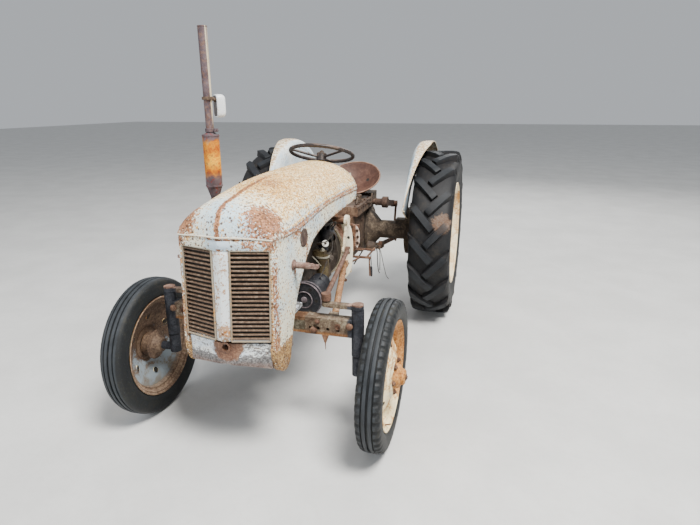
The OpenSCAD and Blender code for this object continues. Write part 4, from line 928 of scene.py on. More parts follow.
# pillars outside the grilles with a turned edge
for sgn in (1, -1):
    path = np.array([(-283, 990), (-286, 930), (-289, 870), (-292, 810), (-295, 750), (-298, 690), (-301, 640), (-303, 602), (-302.5, 560), (-301, 535),
                     (-297, 510), (-289, 486), (-276, 464), (-256, 446), (-232, 435), (-208, 431.5), (-186, 437)], float)
    tan = np.gradient(path, axis=0)
    tan /= np.linalg.norm(tan, axis=1)[:, None]
    rows = []
    for (y, z), (ty, tz) in zip(path, tan):
        n = np.array([tz, -ty])                       # outwards: to the front, then down
        if n[0] > 0.2 or (abs(n[0]) < 0.2 and n[1] > 0):
            n = -n
        inn = 185 if z < 600 else 193
        rows.append([(xx, y + n[0] * d, z + n[1] * d) for xx, d in ((inn, -14), (inn, -1.5), (inn + 2.5, 1.0), (204, 0.6), (208.5, -1.5), (210.6, -6.5), (211.6, -16))])
    o = Geo().grid(rows).out("nose_pillar_" + ("left" if sgn > 0 else "right"), m_pillar, "bonnet", mirror=sgn < 0, angle=60, slot="bonnet_paint")
    # hinge ear: dished boss round the pin
    Geo().lathe([(-4, 31), (3, 32), (6.0, 29), (7.0, 22), (5.0, 17.5), (5.0, 16.0)], (209.5, -196, 505), (1, 0, 0), 40).out(
        "hinge_ear_" + ("left" if sgn > 0 else "right"), m_pillar, "bonnet", mirror=sgn < 0, slot="bonnet_paint")
    # dark ring in the boss: painted shade inside the hole round the pin
    Geo().lathe([(5.0, 16.2), (4.6, 9.7)], (209.5, -196, 505), (1, 0, 0), 40).out(
        "hinge_hole_shade_" + ("left" if sgn > 0 else "right"), m_core_and_shade, "bonnet", mirror=sgn < 0, slot="dark_iron")
    # oval blanking plate near the side arch and the reddened slot round the lamp bar
    ring = []
    for a in np.linspace(0, 2 * math.pi, 40, endpoint=False):
        ring.append((0, 46 * math.cos(a), 42 * math.sin(a)))
    g = Geo()
    c = np.array([223.5, 22, 962])
    tilt = math.radians(-12)
    Rz = lambda p: (p[0], p[1] * math.cos(tilt) - p[2] * math.sin(tilt), p[1] * math.sin(tilt) + p[2] * math.cos(tilt))
    rr = [[np.array(Rz((dx, y * f, z * f))) + c for (_, y, z) in ring] for dx, f in ((-2, 1.0), (3.2, 1.0), (4.2, 0.93), (3.0, 0.86), (3.0, 0.01))]
    g.grid(rr, closed_v=True, flip=True)
    g.out("side_oval_" + ("left" if sgn > 0 else "right"), m_oval, "bonnet", mirror=sgn < 0, slot="bonnet_paint")
    leaf = []
    for a in np.linspace(0, 2 * math.pi, 32, endpoint=False):
        leaf.append((12 * math.cos(a) * abs(math.cos(a)) ** 0.3, 62 * math.sin(a)))
    g = Geo()
    rr = [[np.array([219.2 + dx + (872 - (868 + z * f)) * -0.016, -122 + y * f, 868 + z * f]) for (y, z) in leaf] for dx, f in ((-1, 1.0), (1.2, 0.97), (0.8, 0.85), (0.7, 0.01))]
    g.grid(rr, closed_v=True, flip=True)
    g.out("lamp_slot_" + ("left" if sgn > 0 else "right"), m_seat, "bonnet", mirror=sgn < 0, slot="steel_rod")

# grilles
LOUV = 21
gt = [np.array([40.0, -322, 977]), np.array([194.5, -280, 977])]
gb = [np.array([36.0, -346, 602]), np.array([190.5, -305, 602])]
for sgn in (1, -1):
    g = Geo()
    for k in range(LOUV):
        t = (k + 0.5) / LOUV
        a = gt[0] + (gb[0] - gt[0]) * t
        b = gt[1] + (gb[1] - gt[1]) * t
        d = (b - a) / np.linalg.norm(b - a)
        nrm = np.array([d[1], -d[0], 0])          # outwards, to the front
        sec = [(7.0, 4.6), (1.5, 4.0), (-1.6, 2.0), (-2.6, -0.6), (-1.6, -3.0), (0.6, -4.1), (1.8, -2.8), (0.6, -0.6), (2.4, 2.0), (7.0, 2.9)]
        rows = []
        for f in np.linspace(0, 1, 5):
            sag = 0.6 * math.sin(k * 2.1 + f * 5)
            p = a + (b - a) * f
            rows.append([p - nrm * sy + np.array([0, 0, sz + sag * 0.5]) for sy, sz in sec])
        g.grid(rows, closed_v=True, flip=False)
        g.cap(rows[0]); g.cap(rows[-1], flip=True)
    g.out("grille_slats_" + ("left" if sgn > 0 else "right"), m_grille, "bonnet", mirror=sgn < 0, angle=50,
          replaces=["grilles"], slot="rusty_iron")
    g = Geo()
    for (p, q) in ((gt[0], gb[0]), (gt[1], gb[1]), (gt[0] + [0, 0, 2], gt[1] + [0, 0, 2]), (gb[0] - [0, 0, 2], gb[1] - [0, 0, 2])):
        g.tube([p + (q - p) * f + np.array([0, -1.5, 0]) for f in np.linspace(0, 1, 6)], 4.2, 8)
    g.out("grille_frame_" + ("left" if sgn > 0 else "right"), m_grille_frame, "bonnet", mirror=sgn < 0, slot="bonnet_paint")

    # black sheet behind the slats: painted shade in the grille
    back = []
    for t in np.linspace(0, 1, 5):
        a, b = gt[0] + (gb[0] - gt[0]) * t, gt[1] + (gb[1] - gt[1]) * t
        back.append([a + [-38, 20, 0], a + [0, 24, 0], (a + b) / 2 + [0, 24, 0], b + [4, 22, 0]])
    Geo().grid(back).out("grille_shade_sheet_" + ("left" if sgn > 0 else "right"), m_core_and_shade, "bonnet", mirror=sgn < 0, slot="dark_iron")

# lamp bar bolt and nut
for sgn in (1, -1):
    g = Geo()
    g.hexbolt((305, -106, 879), (0, 0, 1), 14, 6)
    g.lathe([(0, 17), (4, 17.5), (8, 15), (10, 15)], (226, -106, 872), (1, 0, 0), 24)
    g.tube([(232, -106, 872), (262, -106.5, 872.3), (292, -106, 872)], 14.2, 20)
    g.out("lamp_bar_" + ("left" if sgn > 0 else "right"), m_lampbar, "bonnet", mirror=sgn < 0, slot="steel_rod")

# ------------------------------------------------------------------ tyres
CAM = math.radians(1.3)


def ring_frame(front):
    if front:
        ex = np.array([math.cos(CAM), 0, -math.sin(CAM)])
        return np.array([479 + 123 * math.cos(CAM), 0, CZF]), basis(ex)
    return np.array([634.0, 1778.0, 601.0]), np.eye(3)


def front_tyre(sgn):
    c, B = ring_frame(True)
    nseg = 240
    # (axial, radius, notch depth) over the tread and both walls
    half = [(0, 339, 0), (4.0, 339, 0), (5.5, 347.4, 0), (8, 347.9, 0), (17, 347.9, 0), (19.5, 347.2, 0), (21, 338.5, 0), (25.5, 338.5, 0.0), (27, 346.0, 0.9),
            (36, 344.5, 1.2), (44, 341, 1.5), (50, 335, 1.6), (53.5, 327, 1.4), (55, 319, 0.6), (55.8, 305, 0), (56, 290, 0),
            (54, 276, 0), (50.5, 266, 0), (47.5, 262, 0), (46.5, 258.5, 0), (44, 257, 0), (40, 253, 0)]
    prof = [(-a, r, k) for a, r, k in half[:0:-1]] + half
    rows = []
    for j in range(nseg):
        th = 2 * math.pi * j / nseg
        ph = j % 5
        deep = 5.5 if sgn > 0 else 0.0                  # the right-hand tyre has plain ribs
        cut_r = deep if ph in (0, 1) else 0.0
        cut_l = deep if (j + 2) % 5 in (0, 1) else 0.0
        row = []
        for a, r, k in prof:
            rr = r - k * (cut_r if a > 0 else cut_l)
            row.append(c + B @ np.array([a, rr * math.sin(th), rr * math.cos(th)]))
        rows.append(row)
    g = Geo().grid(rows, closed_u=True, flip=True)
    g.out("front_tyre_" + ("l" if sgn > 0 else "r"), m_ftyre, "front_wheel_left" if sgn > 0 else "front_wheel_right",
          mirror=sgn < 0, angle=32, replaces=["front_tyre_" + ("left" if sgn > 0 else "right")], slot="tyre")


def rear_tyre(sgn):
    c, B = ring_frame(False)
    half = [(0, 571), (40, 570), (80, 567), (108, 560), (126, 548), (136, 530), (140, 505), (140, 480), (137, 455), (131, 430),
            (126, 405), (124, 392), (122, 384), (119, 379), (112, 374)]
    prof = [(-a, r) for a, r in half[:0:-1]] + half
    nseg = 160
    rows = []
    for j in range(nseg):
        th = 2 * math.pi * j / nseg
        rows.append([c + B @ np.array([a, r * math.sin(th), r * math.cos(th)]) for a, r in prof])
    g = Geo().grid(rows, closed_u=True, flip=True)

    def base_r(a):
        a = abs(a)
        xs, rs = [h[0] for h in half[:8]], [h[1] for h in half[:8]]
        return float(np.interp(a, xs, rs))

    L = 17
    # station: axial place, outer radius, angle along the bar in degrees
    st = [(-20, 596.0, -1.6), (-14, 600.5, -1.0), (8, 601.0, 1.4), (36, 601.0, 4.4), (64, 600.8, 7.4), (90, 599.0, 10.2), (108, 595.0, 12.1), (122, 588, 13.6),
          (133, 574, 14.8), (139.5, 552, 15.6), (140.0, 528, 16.0), (140, 508, 16.2)]
    for side in (1, -1):
        for i in range(L):
            ph0 = 360.0 * (i + (0.5 if side < 0 else 0.0)) / L
            rws = []
            for q, (a, ro, dph) in enumerate(st):
                wd = 27.0 if q < 8 else 27.0 - 2.6 * (q - 7)
                top = wd - 6.5 if q < 10 else wd - 9
                rb = min(base_r(a), ro) - 6 if a < 139 else ro - 10
                # width runs partly round the tyre and partly across it
                pts = []
                for off, rr, in_ in ((-wd - 3, rb, 0), (-wd, rb + 9, 0), (-top - 1.5, ro - 2.5, 0), (-top, ro, 0), (0, ro + 0.0, 0), (top, ro, 0), (top + 1.5, ro - 2.5, 0), (wd, rb + 9, 0), (wd + 3, rb, 0)):
                    if rr < rb:
                        rr = rb
                    aa = a + off * 0.70
                    if q >= 7:
                        aa = a + off * 0.30 * max(0, 1 - (q - 6) / 4)
                    aa = min(aa, 140.0) if rr > 470 else aa
                    th = math.radians(ph0 - dph) + off * 0.72 / 590.0
                    ax = aa
                    if q >= 8:                              # on the wall the bar stands out sideways
                        ax = min(a, 140.0) + (0.0 if rr >= ro - 3 else -4.0)
                    pts.append(c + B @ np.array([side * ax, -rr * math.sin(th), rr * math.cos(th)]))
                rws.append(pts)
            g.grid(rws, flip=(side > 0))
            g.cap(rws[0], flip=(side > 0))
            g.cap(rws[-1], flip=(side < 0))
    g.out("rear_tyre_" + ("l" if sgn > 0 else "r"), m_rtyre, "rear_wheel_left" if sgn > 0 else "rear_wheel_right",
          mirror=sgn < 0, angle=30, replaces=["rear_tyre_" + ("left" if sgn > 0 else "right")], slot="tyre")


def front_rim(sgn):
    c, B = ring_frame(True)
    body = "front_wheel_left" if sgn > 0 else "front_wheel_right"
    tag = "left" if sgn > 0 else "right"
    g = Geo()
    # closed section of the rolled rim, as (axial, radius)
    sec = [(47, 254), (48.5, 250), (47, 246.5), (43, 246), (41, 240), (38, 236), (32, 233.5), (25, 230), (22, 218), (14, 214.5), (0, 213.5), (-14, 214.5), (-22, 218), (-25, 230),
           (-32, 233.5), (-38, 236), (-41, 240), (-43, 246), (-47, 246.5), (-48.5, 250), (-47, 254), (-44, 252), (-40, 242), (-36, 239.5), (-30, 238), (-27, 234), (-24, 221), (0, 217),
           (24, 221), (27, 234), (30, 238), (36, 239.5), (40, 242), (44, 252)]
    n = 120
    rows = []
    for j in range(n):
        th = 2 * math.pi * j / n
        rows.append([c + B @ np.array([a, r * math.sin(th), r * math.cos(th)]) for a, r in sec])
    g.grid(rows, closed_u=True, closed_v=True, flip=False)
    # pressed disc, built as plain rings front and back; its holes are separate pieces further on
    prof = [(3, 216), (5, 205), (8, 194), (11, 180), (14, 172), (18, 166), (24, 152), (30, 138), (35, 124), (40, 108), (47, 96), (53, 84), (54, 70), (54, 50)]
    hn, hr, hc = 6, 17.0, 152.0
    th = np.linspace(0, 2 * math.pi, n, endpoint=False)
    disc = []
    for a, r in prof:
        ring = []
        for t in th:
            ring.append((a, r * math.sin(t), r * math.cos(t)))
        disc.append(ring)
    disc = np.array(disc)
    back = disc - np.array([4.0, 0, 0])

    def z2a(r):
        xs = [p[1] for p in prof][::-1]
        zs = [p[0] for p in prof][::-1]
        return np.interp(r, xs, zs)
    front = [[c + B @ p for p in ring] for ring in disc]
    rear = [[c + B @ p for p in ring] for ring in back]
    g.grid(front, closed_v=True, flip=True)
    g.grid(rear, closed_v=True, flip=False)
    # hub shell and cap
    ax = B[:, 0]
    g.lathe([(52, 60), (57, 57), (70, 54), (76, 50), (82, 40), (84.5, 37), (96, 35), (100, 30), (101, 0)], c, ax, 40)
    g.lathe([(40, 58), (0, 60), (-4, 74), (-9, 75), (-12, 70), (-13, 52), (-22, 46), (-46, 36), (-50, 33), (-50, 21)], c, ax, 48)
    g.out("front_rim_shell_" + tag, m_frim[sgn], body, mirror=sgn < 0, angle=40, replaces=["front_rim_" + tag], slot="rim_paint")
    g = Geo()
    for i in range(6):
        a = math.radians(60 * i + 30)
        p = c + B @ np.array([54, 72 * math.sin(a), 72 * math.cos(a)])
        g.hexbolt(p, ax, 19, 10, 5)
    # cap nut and valve
    g.hexbolt(c + ax * 100.5, ax, 26, 5, 4, washer=False)
    a = math.radians(200)
    vp = c + B @ np.array([30, 226 * math.sin(a), 226 * math.cos(a)])
    g.tube([vp, vp + ax * 14 + B @ np.array([0, -3 * math.sin(a), -3 * math.cos(a)]), vp + ax * 26 + B @ np.array([0, -7 * math.sin(a), -7 * math.cos(a)])], [4.2, 3.6, 3.0], 10)
    g.out("front_hub_bolts_" + tag, m_rod, body, mirror=sgn < 0, slot="steel_rod")
    # dark holes through the disc
    g = Geo()
    for i in range(6):
        a = math.radians(60 * i)
        rc = 152.0
        p = c + B @ np.array([z2a(rc) - 1.0, rc * math.sin(a), rc * math.cos(a)])
        rad = B @ np.array([0, math.sin(a), math.cos(a)])
        nx = ax * 0.905 + rad * 0.425
        g.lathe([(-7, 15.5), (2.2, 16.2), (3.6, 17.5), (2.6, 19.5), (0.6, 20.0)], p, nx, 28)
    g.out("front_rim_hole_edges_" + tag, m_frim[sgn], body, mirror=sgn < 0, slot="rim_paint")
    g = Geo()
    for i in range(6):
        a = math.radians(60 * i)
        rc = 152.0
        p = c + B @ np.array([z2a(rc) - 1.0, rc * math.sin(a), rc * math.cos(a)])
        rad = B @ np.array([0, math.sin(a), math.cos(a)])
        nx = ax * 0.905 + rad * 0.425
        g.lathe([(1.6, 16.0), (1.6, 0)], p, nx, 28)
        g.lathe([(-6.2, 0), (-6.2, 15.5)], p, nx, 28)
    g.out("front_rim_hole_shade_" + tag, m_core_and_shade, body, mirror=sgn < 0, slot="dark_iron")


def rear_rim(sgn):
    c, B = ring_frame(False)
    body = "rear_wheel_left" if sgn > 0 else "rear_wheel_right"
    tag = "left" if sgn > 0 else "right"
    ax = np.array([1.0, 0, 0])
    g = Geo()
    sec = [(127, 374), (130, 371), (130, 366), (126, 362.5), (120, 362), (117, 352), (112, 348), (100, 345), (92, 336), (78, 326), (60, 322.5), (0, 322), (-60, 322.5), (-78, 326), (-92, 336),
           (-100, 345), (-112, 348), (-117, 352), (-120, 362), (-126, 362.5), (-130, 366), (-130, 371), (-127, 374), (-122, 371), (-119, 360), (-114, 353), (-98, 350), (-88, 338), (-74, 330), (0, 327),
           (74, 330), (88, 338), (98, 350), (114, 353), (119, 360), (122, 371)]
    n = 144
    rows = []
    for j in range(n):
        th = 2 * math.pi * j / n
        rows.append([c + np.array([a, r * math.sin(th), r * math.cos(th)]) for a, r in sec])
    g.grid(rows, closed_u=True, closed_v=True, flip=False)
    # dished disc, scalloped between the lugs
    prof = [(-60, 60), (-62, 85), (-62, 112), (-57, 130), (-50, 148), (-38, 168), (-22, 192), (-6, 216), (4, 238), (12, 262), (18, 284), (22, 300), (24, 308)]
    for off, fl in ((0.0, True), (-6.0, False)):
        rws = []
        for a, r in prof:
            ring = []
            for j in range(n):
                th = 2 * math.pi * j / n
                sc = 0.5 - 0.5 * math.cos(6 * th + math.pi)       # 1 between the lugs
                rr = r - (r - 190) / 118 * 26 * (1 - sc) if r > 190 else r
                rr = r - max(0, (r - 190) / 118) * 24 * (0.5 + 0.5 * math.cos(6 * th + math.pi))
                ring.append(c + np.array([a + off, rr * math.sin(th), rr * math.cos(th)]))
            rws.append(ring)
        g.grid(rws, closed_v=True, flip=not fl)
    g.out("rear_rim_shell_" + tag, m_rrim[sgn], body, mirror=sgn < 0, angle=40, replaces=["rear_rim_" + tag], slot="rim_paint")
    g = Geo()
    # clamps between disc and rim, with bolts
    for i in range(6):
        th = math.radians(60 * i)
        rad = np.array([0, math.sin(th), math.cos(th)])
        tan = np.array([0, math.cos(th), -math.sin(th)])
        R = np.stack([ax, tan, rad], 1)
        b = Geo().block((8, -30, 276), (40, 30, 324), 3)
        g.turned(b, c, R)
        b = Geo().block((4, -24, 262), (26, 24, 300), 3)
        g.turned(b, c, R)
    g.out("rear_rim_lugs_" + tag, m_rrim[sgn], body, mirror=sgn < 0, slot="rim_paint")
    g = Geo()
    for i in range(6):
        th = math.radians(60 * i)
        rad = np.array([0, math.sin(th), math.cos(th)])
        g.hexbolt(c + ax * 26 + rad * 284, ax, 24, 12, 10)
    for i in range(8):
        th = math.radians(45 * i + 10)
        rad = np.array([0, math.sin(th), math.cos(th)])
        g.hexbolt(c - ax * 61 + rad * 98, ax, 22, 12, 8)
    g.lathe([(-60, 66), (-44, 62), (-24, 58), (-20, 52), (-18, 44), (-18, 0)], c, ax, 36)
    g.hexbolt(c - ax * 18, ax, 46, 16, 8)
    a = math.radians(75)
    vp = c + np.array([60, 318 * math.sin(a), 318 * math.cos(a)])
    g.tube([vp, vp + np.array([10, 10 * -math.sin(a), 10 * -math.cos(a)]), vp + np.array([26, 16 * -math.sin(a), 16 * -math.cos(a)])], [6, 5, 4], 10)
    g.out("rear_hub_bolts_" + tag, m_brown, body, mirror=sgn < 0, slot="rusty_iron")
    # hub flange and drum face behind the disc
    g = Geo()
    g.lathe([(-98, 0), (-98, 50), (-92, 54), (-70, 58), (-66, 90), (-62, 92), (-62, 40)], c, ax, 40)
    g.out("rear_hub_flange_" + tag, m_drum, body, mirror=sgn < 0, slot="dark_iron")


for sgn in (1, -1):
    front_tyre(sgn)
    rear_tyre(sgn)
    front_rim(sgn)
    rear_rim(sgn)

# ------------------------------------------------------------------ fenders
def fender(sgn):
    tag = "left" if sgn > 0 else "right"
    c = np.array([0, 1778.0, 601.0])
    x_in = 462.0
    n = 90
    rows = []
    edge_o, edge_i = [], []
    a0, a1 = math.radians(8.0), math.radians(156.0)
    for j in range(n + 1):
        a = a0 + (a1 - a0) * j / n           # 0 to the rear, 90 up, 180 to the front
        ca, sa = math.cos(a), math.sin(a)
        y = c[1] + 668 * ca
        # flange width over the tyre, narrowing towards the front end
        wf = 110.0 if y > 1655 else 110.0 * max(0.0, (y - 1165) / (1655 - 1165)) ** 0.85
        wf = max(wf, 2.0)
        fl = wf / 110.0
        pr = [(430, 0), (500, 0), (560, 0), (600, 0.0), (618, 1.5), (634, 6), (648, 13.5), (658, 24 * min(1, 0.3 + fl)), (664, 38 * fl + 2), (667, 54 * fl + 2), (668, 80 * fl + 2), (667, 106 * fl + 1.5)]
        row = []
        for r, x in pr:
            row.append((x_in + x, c[1] + r * ca, c[2] + r * sa))
        # rolled-down outer bead
        row += [(x_in + 110 * fl + 1.5, c[1] + 664 * ca, c[2] + 664 * sa), (x_in + 106 * fl + 1.0, c[1] + 661 * ca, c[2] + 661 * sa)]
        rows.append(row)
        edge_o.append((x_in + 108 * fl + 1.5, c[1] + 664.5 * ca, c[2] + 664.5 * sa))
        edge_i.append((x_in + 1, c[1] + 431 * ca, c[2] + 431 * sa))
    g = Geo().grid(rows, flip=True)
    o = g.out("fender_skin_" + tag, m_fender, "chassis", mirror=sgn < 0, angle=60, replaces=["fender_" + tag], slot="grey_paint")
    k = o.modifiers.new("sheet", 'SOLIDIFY'); k.thickness = 0.0025; k.offset = 0.0
    # rolled edge, swage rings, end beads
    g = Geo()
    g.tube(edge_o, 4.5, 8)
    g.tube([rows[0][i] for i in range(len(rows[0]) - 2)], 3.5, 8)
    g.tube([rows[-1][i] for i in range(len(rows[0]) - 2)], 3.5, 8)
    g.out("fender_edge_" + tag, m_fender_edge, "chassis", mirror=sgn < 0, slot="grey_paint")
    g = Geo()
    for rr, d in ((598, 2.6),):
        pts = []
        for j in range(3, n - 2):
            a = a0 + (a1 - a0) * j / n
            pts.append((x_in - 0.5, c[1] + rr * math.cos(a), c[2] + rr * math.sin(a)))
        g.tube(pts, d, 8)
    g.out("fender_swage_" + tag, m_fender, "chassis", mirror=sgn < 0, slot="grey_paint")
    # brackets with bolts, to the brake drum
    g = Geo()
    g.block((466.5, 1968, 700), (474, 2018, 1160), 2)
    g.block((466.5, 1718, 735), (474, 2018, 790), 2)
    for p in ((474, 1993, 1140), (474, 1993, 1060), (474, 1993, 980), (474, 1760, 762), (474, 1800, 762)):
        g.hexbolt(p, (1, 0, 0), 17, 7)
    for p in ((462, 1993, 1140), (462, 1993, 1060)):
        g.hexbolt(p, (-1, 0, 0), 17, 7, 4)
    g.out("fender_bracket_" + tag, m_brown, "chassis", mirror=sgn < 0, slot="grey_paint")


for sgn in (1, -1):
    fender(sgn)

# ------------------------------------------------------------------ seat
def seat():
    c = np.array([0, 1705.0, 1003.0])
    t = math.radians(29)
    R = np.array([[1, 0, 0], [0, math.cos(t), -math.sin(t)], [0, math.sin(t), math.cos(t)]])
    n = 96
    prof = []
    for r in np.linspace(8, 196, 22):
        prof.append((r, 133 - math.sqrt(240 ** 2 - r ** 2) + 1.0))
    rows = []
    for r, z in prof:
        ring = []
        for j in range(n):
            a = 2 * math.pi * j / n
            lift = 0.0
            ring.append(c + R @ np.array([r * math.cos(a), r * math.sin(a), z + lift]))
        rows.append(ring)
    g = Geo().grid(rows, closed_v=True, flip=False)
    g.cap(rows[0], flip=True)
    o = g.out("seat_bowl", m_seat, "chassis", angle=60, replaces=["seat_pan"], slot="seat_rust")
    k = o.modifiers.new("sheet", 'SOLIDIFY'); k.thickness = 0.003; k.offset = 0.0
    zr = 133 - math.sqrt(240 ** 2 - 197 ** 2)
    g = Geo()
    ring = [c + R @ np.array([198 * math.cos(a), 198 * math.sin(a), zr]) for a in np.linspace(0, 2 * math.pi, n, endpoint=False)]
    ring = np.array(ring)
    rows = []
    for j in range(n):
        a = 2 * math.pi * j / n
        er = R @ np.array([math.cos(a), math.sin(a), 0])
        ez = R @ np.array([0, 0, 1.0])
        rows.append([ring[j] + 5.2 * (math.cos(b) * er + math.sin(b) * ez) for b in np.linspace(0, 2 * math.pi, 10, endpoint=False)])
    g.grid(rows, closed_u=True, closed_v=True, flip=False)
    g.out("seat_rim", m_seat_rim, "chassis", slot="seat_rust")
    # drain holes as dark discs, painted shade inside them, and the centre bolt
    g = Geo()
    for a in (40, 140, 220, 320):
        a = math.radians(a)
        r = 112
        z = 133 - math.sqrt(240 ** 2 - r ** 2)
        p = c + R @ np.array([r * math.cos(a), r * math.sin(a), z + 3.0])
        nn = R @ np.array([-math.cos(a) * r / 240, -math.sin(a) * r / 240, math.sqrt(1 - (r / 240) ** 2)])
        g.lathe([(0.3, 0), (0.3, 13.5)], p, nn, 24)
        g.lathe([(-6.2, 13.5), (-6.2, 0)], p, nn, 24)
    g.out("seat_hole_shade", m_core_and_shade, "chassis", slot="seat_rust", smooth=False)
    g = Geo()
    for a in (40, 140, 220, 320):
        a = math.radians(a)
        r = 112
        z = 133 - math.sqrt(240 ** 2 - r ** 2)
        p = c + R @ np.array([r * math.cos(a), r * math.sin(a), z + 2.0])
        nn = R @ np.array([-math.cos(a) * r / 240, -math.sin(a) * r / 240, math.sqrt(1 - (r / 240) ** 2)])
        g.lathe([(-1, 17), (1.6, 16.5), (2.0, 14.5), (0.5, 13.0), (-5.5, 13.0), (-6.5, 15), (-5, 17)], p, nn, 24)
    g.hexbolt(c + R @ np.array([0, 0, -105.0]), R @ np.array([0, 0, 1.0]), 24, 10, 6)
    g.out("seat_hole_edges", m_seat, "chassis", slot="seat_rust")


seat()

# ------------------------------------------------------------------ mirror on the stack
def mirror_piece():
    g = Geo()
    c = np.array([-290.0, 270, 1523])
    rows = []
    turn = math.radians(132)                              # knocked round: the glass looks forward and to the right
    def at(x, d, z):
        return c + np.array([x * math.cos(turn) - d * math.sin(turn), x * math.sin(turn) + d * math.cos(turn), z])
    for d, s in ((-30, 0.70), (-28, 0.83), (-22, 0.94), (-12, 1.0), (8, 1.0), (12, 0.97), (13.5, 0.90)):
        ring = []
        for a in np.linspace(0, 2 * math.pi, 56, endpoint=False):
            ca, sa = math.cos(a), math.sin(a)
            e = 0.42
            x = 40.5 * s * math.copysign(abs(ca) ** e, ca)
            z = 53.5 * s * math.copysign(abs(sa) ** e, sa)
            ring.append(at(x, d, z))
        rows.append(ring)
    g.grid(rows, closed_v=True, flip=False)
    g.cap(rows[0], flip=False)
    o = g.out("mirror_case", m_mirror_shell, "chassis", angle=50, replaces=["mirror"], slot="mirror_shell")
    g = Geo()
    ring = []
    for a in np.linspace(0, 2 * math.pi, 56, endpoint=False):
        ca, sa = math.cos(a), math.sin(a)
        ring.append(at(34.5 * math.copysign(abs(ca) ** 0.42, ca), 13.7, 47.0 * math.copysign(abs(sa) ** 0.42, sa)))
    g.cap(ring, flip=True)
    g.out("mirror_face", m_glass_painted_reflection, "chassis", smooth=False, slot="mirror_shell")
    g = Geo()
    # clamp on the pipe, arm and ball joint
    g.lathe([(-7, 19.6), (-7, 25), (-6, 26.6), (6, 26.6), (7, 25), (7, 19.6)], (-290, 178, 1557), (0, 0, 1), 32, closed=True)
    g.block((-300, 202, 1551), (-282, 218, 1563), 2)
    g.hexbolt((-282, 213, 1557), (1, 0, 0), 12, 6)
    g.tube([(-288, 206, 1554), (-287, 226, 1552), (-288, 246, 1548)], 6.5, 12)
    g.lathe([(-9, 0), (-8, 6), (-4, 9), (4, 9), (8, 6), (9, 0)], (-288, 246, 1548), (0, 1, 0), 20)
    g.out("mirror_clamp", m_dark, "chassis", slot="mirror_shell")


mirror_piece()

# ------------------------------------------------------------------ exhaust details
g = Geo()
for z in (1152, 1389):
    g.lathe([(-4, 39.2), (-3, 40.8), (3, 40.8), (4, 39.2)], (-290, 178, z), (0, 0, 1), 48)
g.tube([(-290 - 39.4, 178, 1156), (-290 - 39.4, 178, 1386)], 1.6, 6)
g.lathe([(0, 19.0), (1, 23.0), (16, 23.0), (17, 19.0)], (-290, 178, 1405), (0, 0, 1), 36)
g.block((-268, 170, 1406), (-250, 186, 1421), 2)
g.hexbolt((-259, 170, 1413), (0, -1, 0), 12, 6)
g.lathe([(0, 21.4), (0.5, 22.6), (4, 22.6), (4.5, 21.4)], (-290, 178, 1863), (0, 0, 1), 36)
g.out("stack_trim", m_stack, "chassis", slot="stack_steel")

# ------------------------------------------------------------------ steering wheel trim
c = np.array([0, 966.0, 1240])
t = math.radians(19.5)
Rw = np.array([[1, 0, 0], [0, math.cos(t), math.sin(t)], [0, -math.sin(t), math.cos(t)]])
ezw = np.array([0, math.sin(t), math.cos(t)])
g = Geo()
g.lathe([(-6, 30.5), (-3, 31), (1, 29), (4, 24), (6, 18), (6.5, 0)], c, ezw, 36)
g.hexbolt(c + ezw * 5.5, ezw, 24, 9, 5, washer=False)
g.out("steering_hub_nut", m_dark, "steering_wheel_body", slot="wheel_rim")
g = Geo()
# finger lands under the rim
for j in range(36):
    a = 2 * math.pi * (j + 0.5) / 36
    p = c + Rw @ np.array([190 * math.cos(a), 190 * math.sin(a), -9.5])
    g.lathe([(-3.5, 2.0), (-2.0, 3.4), (2.0, 3.4), (3.5, 2.0)], p, Rw @ np.array([math.cos(a), math.sin(a), 0]), 8)
g.out("steering_rim_grips", m_steer, "steering_wheel_body", slot="wheel_rim")

# throttle quadrant and gauges on the dash
g = Geo()
for x in (-135, -78, 78, 135):
    g.lathe([(0, 24.2), (0.5, 26.5), (4, 26.5), (5, 24), (3, 22.5)], (x, 892, 1080), (0, 1, 0), 32)
g.out("gauge_bezels", m_dark, "chassis", slot="grey_paint")
g = Geo()
for x in (-135, -78, 78, 135):
    g.lathe([(3.2, 22.4), (3.4, 0)], (x, 892, 1080), (0, 1, 0), 32)
g.out("gauge_faces", m_gauge, "chassis", slot="grey_paint")
g = Geo()
for x, z in ((-180, 1125), (180, 1125), (-180, 985), (180, 985), (0, 1128)):
    g.hexbolt((x, 886, z), (0, 1, 0), 10, 4)
g.tube([(-40, 888, 1120), (-42, 900, 1135), (-60, 935, 1160)], 4, 8)
g.lathe([(0, 8), (6, 11), (14, 8), (16, 0)], (-60, 935, 1160), (-0.4, 0.75, 0.5), 16)
g.out("dash_screws", m_dark, "chassis", slot="grey_paint")

# ------------------------------------------------------------------ front axle fittings
for sgn in (1, -1):
    tag = "left" if sgn > 0 else "right"
    g = Geo()
    for x, z, r in ((447, 576, 17), (282, 548, 17), (300, 590, 12)):
        y0 = -30.2 if x > 400 else -40.5
        g.lathe([(-1, r), (4, r), (9, r * 0.86), (13, r * 0.55), (14.5, 0)], (x, y0, z), (0, -1, 0), 20)
    g.lathe([(0, 14), (5, 14), (6, 9.5), (2, 9.0), (2, 0)], (393, -30.2, 570), (0, -1, 0), 24)
    g.out("axle_bolts_" + tag, m_rod, "chassis", mirror=sgn < 0, slot="rusty_iron")
    g = Geo()
    # bracket hanging under the joint of beam and arm
    g.add([(318, -34, 523), (350, -34, 523), (338, -34, 488), (330, -34, 488), (318, -26, 523), (350, -26, 523), (338, -26, 488), (330, -26, 488)],
          [(0, 3, 2, 1), (4, 5, 6, 7), (0, 1, 5, 4), (1, 2, 6, 5), (2, 3, 7, 6), (3, 0, 4, 7)])
    g.tube([(334, -30, 490), (333, -30, 476), (334.5, -30, 462), (334, -30, 452)], [3.5, 2.5, 2.0, 1.5], 8)
    g.out("axle_bracket_tab_" + tag, m_orange, "chassis", mirror=sgn < 0, slot="rusty_iron")

SHAFT_Y, SHAFT_Z, SHAFT_R = 1700, 824, 19.7                   # the lift's cross shaft

